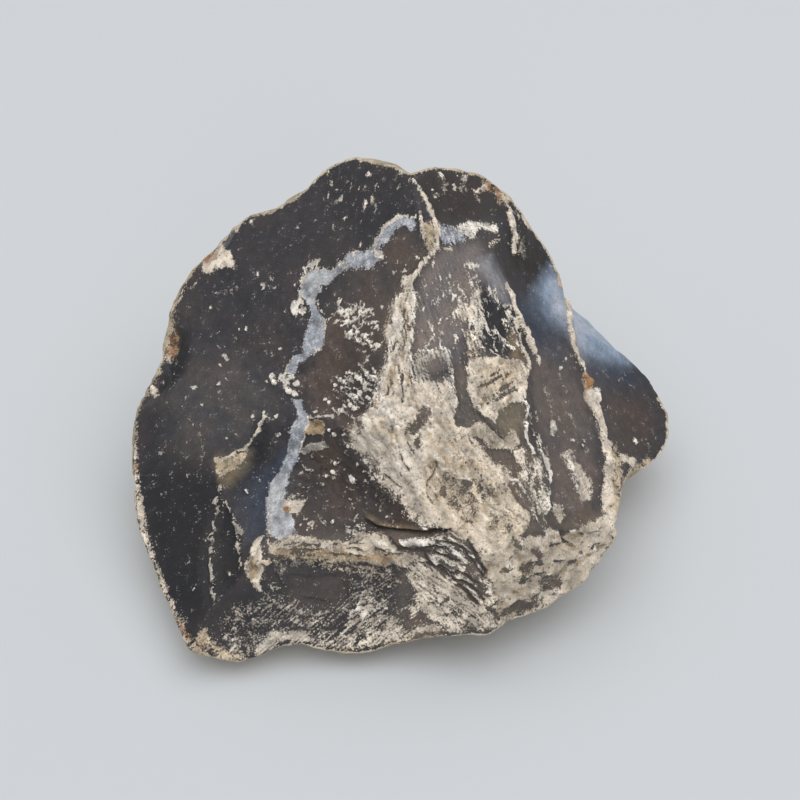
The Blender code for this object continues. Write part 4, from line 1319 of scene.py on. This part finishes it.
# The grain that breaks up every edge: blotches and specks, drawn out along the slant where it is ridged.
clouds = {"Vector": place, "Scale": to_the_metre(CLOUD), "Detail": 3.0, "Roughness": 0.55}
blotches = {"Vector": place, "Scale": to_the_metre(BLOTCH), "Detail": 3.0, "Roughness": 0.6}
specks = {"Vector": place, "Scale": to_the_metre(SPECK), "Detail": 3.0, "Roughness": 0.65}
cloud = add(tree, "ShaderNodeTexNoise", clouds).outputs["Fac"]
blotch = add(tree, "ShaderNodeTexNoise", blotches).outputs["Fac"]
speck = add(tree, "ShaderNodeTexNoise", specks).outputs["Fac"]
grain = add(tree, "ShaderNodeMath", {0: blotch, 1: speck}, operation="ADD").outputs[0]
for kind in RIDGED:
    rotation = (LOOK_DOWN - math.pi / 2, 0, -math.radians(kind.colour_slant))
    stretch = (to_the_metre(STREAK_LONG), to_the_metre(STREAK_WIDE), to_the_metre(STREAK_WIDE))
    turned = add(tree, "ShaderNodeMapping", {"Vector": place, "Rotation": rotation}).outputs[0]
    drawn_out = add(tree, "ShaderNodeMapping", {"Vector": turned, "Scale": stretch}).outputs[0]
    along = {"Vector": drawn_out, "Scale": 1.0, "Detail": 3.0, "Roughness": 0.6}
    streak = add(tree, "ShaderNodeTexNoise", along).outputs["Fac"]
    streaked = add(tree, "ShaderNodeMath", {0: streak, 1: speck}, operation="ADD").outputs[0]
    grain = add(tree, "ShaderNodeMix", {0: shares[kind.name], 2: grain, 3: streaked}).outputs[0]
even = add(tree, "ShaderNodeMapRange", {0: grain, 1: 0.68, 2: 1.32}).outputs[0]
dust_edge = add(tree, "ShaderNodeMath", {0: shares["dust"], 1: even}, operation="ADD").outputs[0]
dust_cover = add(tree, "ShaderNodeMapRange", {0: dust_edge, 1: 0.86, 2: 1.2}).outputs[0]

# Chalk: pale grains, stained brown in blotches.
chalk_tone = add(tree, "ShaderNodeMapRange", {0: grain, 1: 0.75, 2: 1.3, 3: 0.7, 4: 1.3}).outputs[0]
toned = {0: tints["dust_tint"], "Scale": chalk_tone}
chalk = add(tree, "ShaderNodeVectorMath", toned, operation="SCALE").outputs[0]
stain = add(tree, "ShaderNodeMapRange", {0: blotch, 1: 0.52, 2: 0.7, 3: 0.0, 4: 0.5}).outputs[0]
chalk = add(tree, "ShaderNodeMix", {0: stain, 6: chalk, 7: linear("#a08b73")}, data_type="RGBA").outputs[2]

# Painted shade darkens the chalk in its hollows and creases, and a painted highlight lightens its high spots.
shade = {0: shares["relief_shade"], 1: 0.1, 2: 0.9, 3: 1.32, 4: 0.64}
shade = add(tree, "ShaderNodeMapRange", shade).outputs[0]
chalk = add(tree, "ShaderNodeVectorMath", {0: chalk, "Scale": shade}, operation="SCALE").outputs[0]

# Dark pits a millimetre apart, and between them dark and white grains.
pit = spotted(size=1.11, least=0.5, most=0.34, soft=0.12, strength=0.75)
dark_grain = spotted(size=0.4, least=0.5, most=0.5, soft=0.1, strength=0.55)
white_grain = spotted(size=0.526, least=0.7, most=0.42, soft=0.1, strength=0.7)
for spot, colour in ((pit, "#5f5750"), (dark_grain, "#6d645b"), (white_grain, "#fffaf0")):
    laid = {0: spot, 6: chalk, 7: linear(colour)}
    chalk = add(tree, "ShaderNodeMix", laid, data_type="RGBA").outputs[2]

# Flint: cloudy glass, bluish and brownish by turns, with specks of chalk that stuck to it.
glass_tone = add(tree, "ShaderNodeMapRange", {0: cloud, 1: 0.3, 2: 0.7, 3: 0.7, 4: 1.35}).outputs[0]
hue_turn = add(tree, "ShaderNodeMapRange", {0: cloud, 1: 0.4, 2: 0.6}).outputs[0]
laid = {0: hue_turn, 6: linear("#f4f9ff"), 7: linear("#fff3ea")}
hue = add(tree, "ShaderNodeMix", laid, data_type="RGBA").outputs[2]
glass = {0: tints["flint_tint"], 1: hue}
glass = add(tree, "ShaderNodeVectorMath", glass, operation="MULTIPLY").outputs[0]
glass = add(tree, "ShaderNodeVectorMath", {0: glass, "Scale": glass_tone}, operation="SCALE").outputs[0]
mottle = add(tree, "ShaderNodeMapRange", {0: grain, 1: 0.7, 2: 1.3, 3: 0.66, 4: 1.35}).outputs[0]
glass = add(tree, "ShaderNodeVectorMath", {0: glass, "Scale": mottle}, operation="SCALE").outputs[0]
for size, least, most in ((0.345, 0.7, 0.24), (0.667, 0.72, 0.24), (2.08, 0.84, 0.16)):
    laid = {0: spotted(size, least, most, soft=0.1, strength=0.6), 6: glass, 7: linear("#c9c3ba")}
    glass = add(tree, "ShaderNodeMix", laid, data_type="RGBA").outputs[2]

# Milky chalcedony: bluish white, curdled and frosted, with a ragged edge and the flint showing through.
curd = add(tree, "ShaderNodeMapRange", {0: grain, 1: 0.75, 2: 1.25, 3: 0.55, 4: 1.12}).outputs[0]
curds = {0: tints["milk_tint"], "Scale": curd}
curds = add(tree, "ShaderNodeVectorMath", curds, operation="SCALE").outputs[0]
frost = add(tree, "ShaderNodeMapRange", {0: grain, 1: 1.04, 2: 1.24, 3: 0.0, 4: 0.85}).outputs[0]
curds = add(tree, "ShaderNodeMix", {0: frost, 6: curds, 7: linear("#eceae6")}, data_type="RGBA").outputs[2]
milk_edge = add(tree, "ShaderNodeMath", {0: shares["milk"], 1: even}, operation="ADD").outputs[0]
milk_cover = add(tree, "ShaderNodeMapRange", {0: milk_edge, 1: 0.8, 2: 1.15}).outputs[0]
depths = {"Vector": place, "Scale": to_the_metre(MILK_DEPTH), "Detail": 2.0, "Roughness": 0.5}
depth = add(tree, "ShaderNodeTexNoise", depths).outputs["Fac"]
depth = add(tree, "ShaderNodeMapRange", {0: depth, 1: 0.36, 2: 0.56, 3: 0.5, 4: 1.0}).outputs[0]
milk_cover = add(tree, "ShaderNodeMath", {0: milk_cover, 1: depth}, operation="MULTIPLY").outputs[0]
glass = add(tree, "ShaderNodeMix", {0: milk_cover, 6: glass, 7: curds}, data_type="RGBA").outputs[2]

dusted = add(tree, "ShaderNodeMix", {0: dust_cover, 6: glass, 7: chalk}, data_type="RGBA").outputs[2]
# Painted shade: the cracks and the crevice over the ledge are darkened.
laid = {0: shares["shaded_crack"], 6: dusted, 7: linear("#3a3431")}
cracked = add(tree, "ShaderNodeMix", laid, data_type="RGBA").outputs[2]

# Rind: chalk gone hard, cream to tan, with grey patches, and small windows where flint shows.
rind_tone = add(tree, "ShaderNodeMapRange", {0: cloud, 1: 0.35, 2: 0.65}).outputs[0]
laid = {0: rind_tone, 6: linear("#dccfba"), 7: linear("#bda98a")}
rind_tint = add(tree, "ShaderNodeMix", laid, data_type="RGBA").outputs[2]
patches = {"Vector": place, "Scale": to_the_metre(GREY_PATCH), "Detail": 5.0, "Roughness": 0.7}
grey_patch = add(tree, "ShaderNodeTexNoise", patches).outputs["Fac"]
grey_patch = {0: grey_patch, 1: 0.54, 2: 0.62, 3: 0.0, 4: 0.55}
grey_patch = add(tree, "ShaderNodeMapRange", grey_patch).outputs[0]
window_edge = add(tree, "ShaderNodeMapRange", {0: grain, 1: 0.7, 2: 1.3, 3: -0.1, 4: 0.1}).outputs[0]
window = spotted(size=9.09, least=0.6, most=0.2, soft=0.04, strength=0.8, ragged=window_edge)
for patch, colour in ((grey_patch, "#98928a"), (window, "#55504b")):
    laid = {0: patch, 6: rind_tint, 7: linear(colour)}
    rind_tint = add(tree, "ShaderNodeMix", laid, data_type="RGBA").outputs[2]
toned = {0: rind_tint, "Scale": chalk_tone}
rind_tint = add(tree, "ShaderNodeVectorMath", toned, operation="SCALE").outputs[0]
laid = {0: pit, 6: rind_tint, 7: linear("#7b7064")}
rind_tint = add(tree, "ShaderNodeMix", laid, data_type="RGBA").outputs[2]
rind_edge = add(tree, "ShaderNodeMath", {0: shares["rind"], 1: even}, operation="ADD").outputs[0]
rind_cover = add(tree, "ShaderNodeMapRange", {0: rind_edge, 1: 0.9, 2: 1.1}).outputs[0]
laid = {0: rind_cover, 6: cracked, 7: rind_tint}
whole_tint = add(tree, "ShaderNodeMix", laid, data_type="RGBA").outputs[2]

dull = add(tree, "ShaderNodeMath", {0: dust_cover, 1: rind_cover}, operation="MAXIMUM").outputs[0]
gloss = add(tree, "ShaderNodeMapRange", {0: dull, 3: FLINT_ROUGHNESS, 4: CHALK_ROUGHNESS}).outputs[0]
relief = add(tree, "ShaderNodeMapRange", {0: dull, 3: FLINT_RELIEF, 4: CHALK_RELIEF}).outputs[0]
height = add(tree, "ShaderNodeMath", {0: relief, 1: grain}, operation="MULTIPLY").outputs[0]
height = add(tree, "ShaderNodeMath", {0: height, 1: pit}, operation="SUBTRACT").outputs[0]
bump = {"Strength": RELIEF_STRENGTH, "Distance": RELIEF_DEPTH, "Height": height}
bump = add(tree, "ShaderNodeBump", bump).outputs[0]
surface = {"Base Color": whole_tint, "Roughness": gloss, "Normal": bump, "IOR": FLINT_IOR}
shader = add(tree, "ShaderNodeBsdfPrincipled", surface)
add(tree, "ShaderNodeOutputMaterial", {"Surface": shader.outputs[0]})
mesh.materials.append(flint)
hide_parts("flint_nodule")
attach(nodule, "root")

# The grit on the chalk.
# Loose grains of chalk, the biggest half a millimetre across, lie on the crust and stick along the
# milky band. They lie where the surface is dusty, each one turned and sized by chance.
CRUMB_RADIUS = 0.16 * MM
CRUMBS_PER_SQUARE_METRE = 1.6e6
CRUMB_BLOTCH = 1.11
CRUMB_SEGMENTS, CRUMB_RINGS = 7, 4  # few enough for all the crumbs to stay under 200,000 triangles
LEAST_STRETCH, MOST_STRETCH = (0.4, 0.4, 0.3), (1.5, 1.2, 0.9)
MOST_TURN = (0.6, 0.6, 6.28)
SPREAD_SEED, SIZE_SEED, TURN_SEED = 5, 8, 9

# Crumbled chalk is matt, and the same cream and tan as the crust under it.
grit_stuff = bpy.data.materials.new("crumbled chalk")
grit_stuff.use_nodes = True
tree = grit_stuff.node_tree
tree.nodes.clear()
place = add(tree, "ShaderNodeTexCoord").outputs["Object"]
blotches = {"Vector": place, "Scale": to_the_metre(CRUMB_BLOTCH), "Detail": 2.0}
mixed = add(tree, "ShaderNodeTexNoise", blotches).outputs["Fac"]
mixed = add(tree, "ShaderNodeMapRange", {0: mixed, 1: 0.35, 2: 0.65}).outputs[0]
laid = {0: mixed, 6: linear("#b9a68d"), 7: linear("#efe6da")}
tint = add(tree, "ShaderNodeMix", laid, data_type="RGBA").outputs[2]
shader = add(tree, "ShaderNodeBsdfPrincipled", {"Base Color": tint, "Roughness": 0.9})
add(tree, "ShaderNodeOutputMaterial", {"Surface": shader.outputs[0]})

scatter = bpy.data.node_groups.new("scattered crumbs", "GeometryNodeTree")
sockets = scatter.interface
sockets.new_socket("Stone", in_out="INPUT", socket_type="NodeSocketGeometry")
density_input = sockets.new_socket("Density", in_out="INPUT", socket_type="NodeSocketFloat")
radius_input = sockets.new_socket("Radius", in_out="INPUT", socket_type="NodeSocketFloat")
sockets.new_socket("Crumbs", in_out="OUTPUT", socket_type="NodeSocketGeometry")
given = scatter.nodes.new("NodeGroupInput").outputs
dusty = add(scatter, "GeometryNodeInputNamedAttribute", {"Name": "crumbs"}, data_type="FLOAT")
wanted = {0: dusty.outputs["Attribute"], 1: given["Density"]}
density = add(scatter, "ShaderNodeMath", wanted, operation="MULTIPLY").outputs[0]
spread = {"Mesh": given["Stone"], "Density": density, "Seed": SPREAD_SEED}
grains = add(scatter, "GeometryNodeDistributePointsOnFaces", spread)
round_crumb = {"Segments": CRUMB_SEGMENTS, "Rings": CRUMB_RINGS, "Radius": given["Radius"]}
ball = add(scatter, "GeometryNodeMeshUVSphere", round_crumb)
stretches = {"Min": LEAST_STRETCH, "Max": MOST_STRETCH, "Seed": SIZE_SEED}
stretched = add(scatter, "FunctionNodeRandomValue", stretches, data_type="FLOAT_VECTOR")
turns = {"Min": (0.0, 0.0, 0.0), "Max": MOST_TURN, "Seed": TURN_SEED}
turned = add(scatter, "FunctionNodeRandomValue", turns, data_type="FLOAT_VECTOR")
turn = {0: grains.outputs["Rotation"], 1: turned.outputs[0]}
facing = add(scatter, "FunctionNodeRotateRotation", turn, rotation_space="LOCAL")
each = {
    "Points": grains.outputs["Points"], "Instance": ball.outputs["Mesh"],
    "Rotation": facing.outputs[0], "Scale": stretched.outputs[0],
}
laid = add(scatter, "GeometryNodeInstanceOnPoints", each)
real = add(scatter, "GeometryNodeRealizeInstances", {0: laid.outputs[0]})
coated = add(scatter, "GeometryNodeSetMaterial", {"Geometry": real.outputs[0], "Material": grit_stuff})
add(scatter, "NodeGroupOutput", {"Crumbs": coated.outputs[0]})

bearer = bpy.data.objects.new("bearer", mesh.copy())
bpy.context.scene.collection.objects.link(bearer)
modifier = bearer.modifiers.new("crumbs", "NODES")
modifier.node_group = scatter
modifier[density_input.identifier] = CRUMBS_PER_SQUARE_METRE
modifier[radius_input.identifier] = CRUMB_RADIUS
evaluated = bearer.evaluated_get(bpy.context.evaluated_depsgraph_get())
crumb_mesh = bpy.data.meshes.new_from_object(evaluated)
bearer_mesh = bearer.data
bpy.data.objects.remove(bearer)
bpy.data.meshes.remove(bearer_mesh)
crumb_mesh.name = "chalk_crumbs"
crumb_mesh.shade_smooth()
crumbs = bpy.data.objects.new("chalk_crumbs", crumb_mesh)
bpy.context.scene.collection.objects.link(crumbs)
crumb_mesh.materials.clear()
crumb_mesh.materials.append(grit_stuff)
crumb_mesh.polygons.foreach_set("material_index", [0] * len(crumb_mesh.polygons))
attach(crumbs, "root")

# The table and the light.
# A sheet of pale matt card under and behind the stone, and the soft light of a bright room: a wide
# lamp overhead, a weaker one low in front, and the pale walls. Places are in metres.
CARD_HALF = 12.0
floor_mesh = bpy.data.meshes.new("table")
bm = bmesh.new()
bmesh.ops.create_grid(bm, x_segments=2, y_segments=2, size=CARD_HALF)
bm.to_mesh(floor_mesh)
bm.free()
floor = bpy.data.objects.new("table", floor_mesh)
bpy.context.scene.collection.objects.link(floor)
card = bpy.data.materials.new("matt card")
card.use_nodes = True
card_shader = card.node_tree.nodes["Principled BSDF"]
card_shader.inputs["Base Color"].default_value = linear("#d3d6d9")
card_shader.inputs["Roughness"].default_value = 0.9
floor_mesh.materials.append(card)

Softbox = namedtuple("Softbox", "name width power place aimed_at")
for box in (
    Softbox("overhead softbox", 2.0, 8.8, (0.05, 0.1, 1.0), (0, 0, 0.03)),
    Softbox("low front softbox", 1.0, 3.0, (0.3, -1.6, 0.45), (0, 0, 0.02)),
):
    lamp_data = bpy.data.lights.new(box.name, "AREA")
    lamp_data.shape = "DISK"
    lamp_data.size = box.width
    lamp_data.energy = box.power
    lamp = bpy.data.objects.new(box.name, lamp_data)
    lamp.location = box.place
    lamp.rotation_euler = (Vector(box.aimed_at) - lamp.location).to_track_quat("-Z", "Y").to_euler()
    bpy.context.scene.collection.objects.link(lamp)
world = bpy.data.worlds.new("bright room")
world.use_nodes = True
walls = world.node_tree.nodes["Background"]
walls.inputs["Color"].default_value = linear("#eceef0")
walls.inputs["Strength"].default_value = 0.6
bpy.context.scene.world = world
bpy.context.scene.view_settings.view_transform = "Standard"
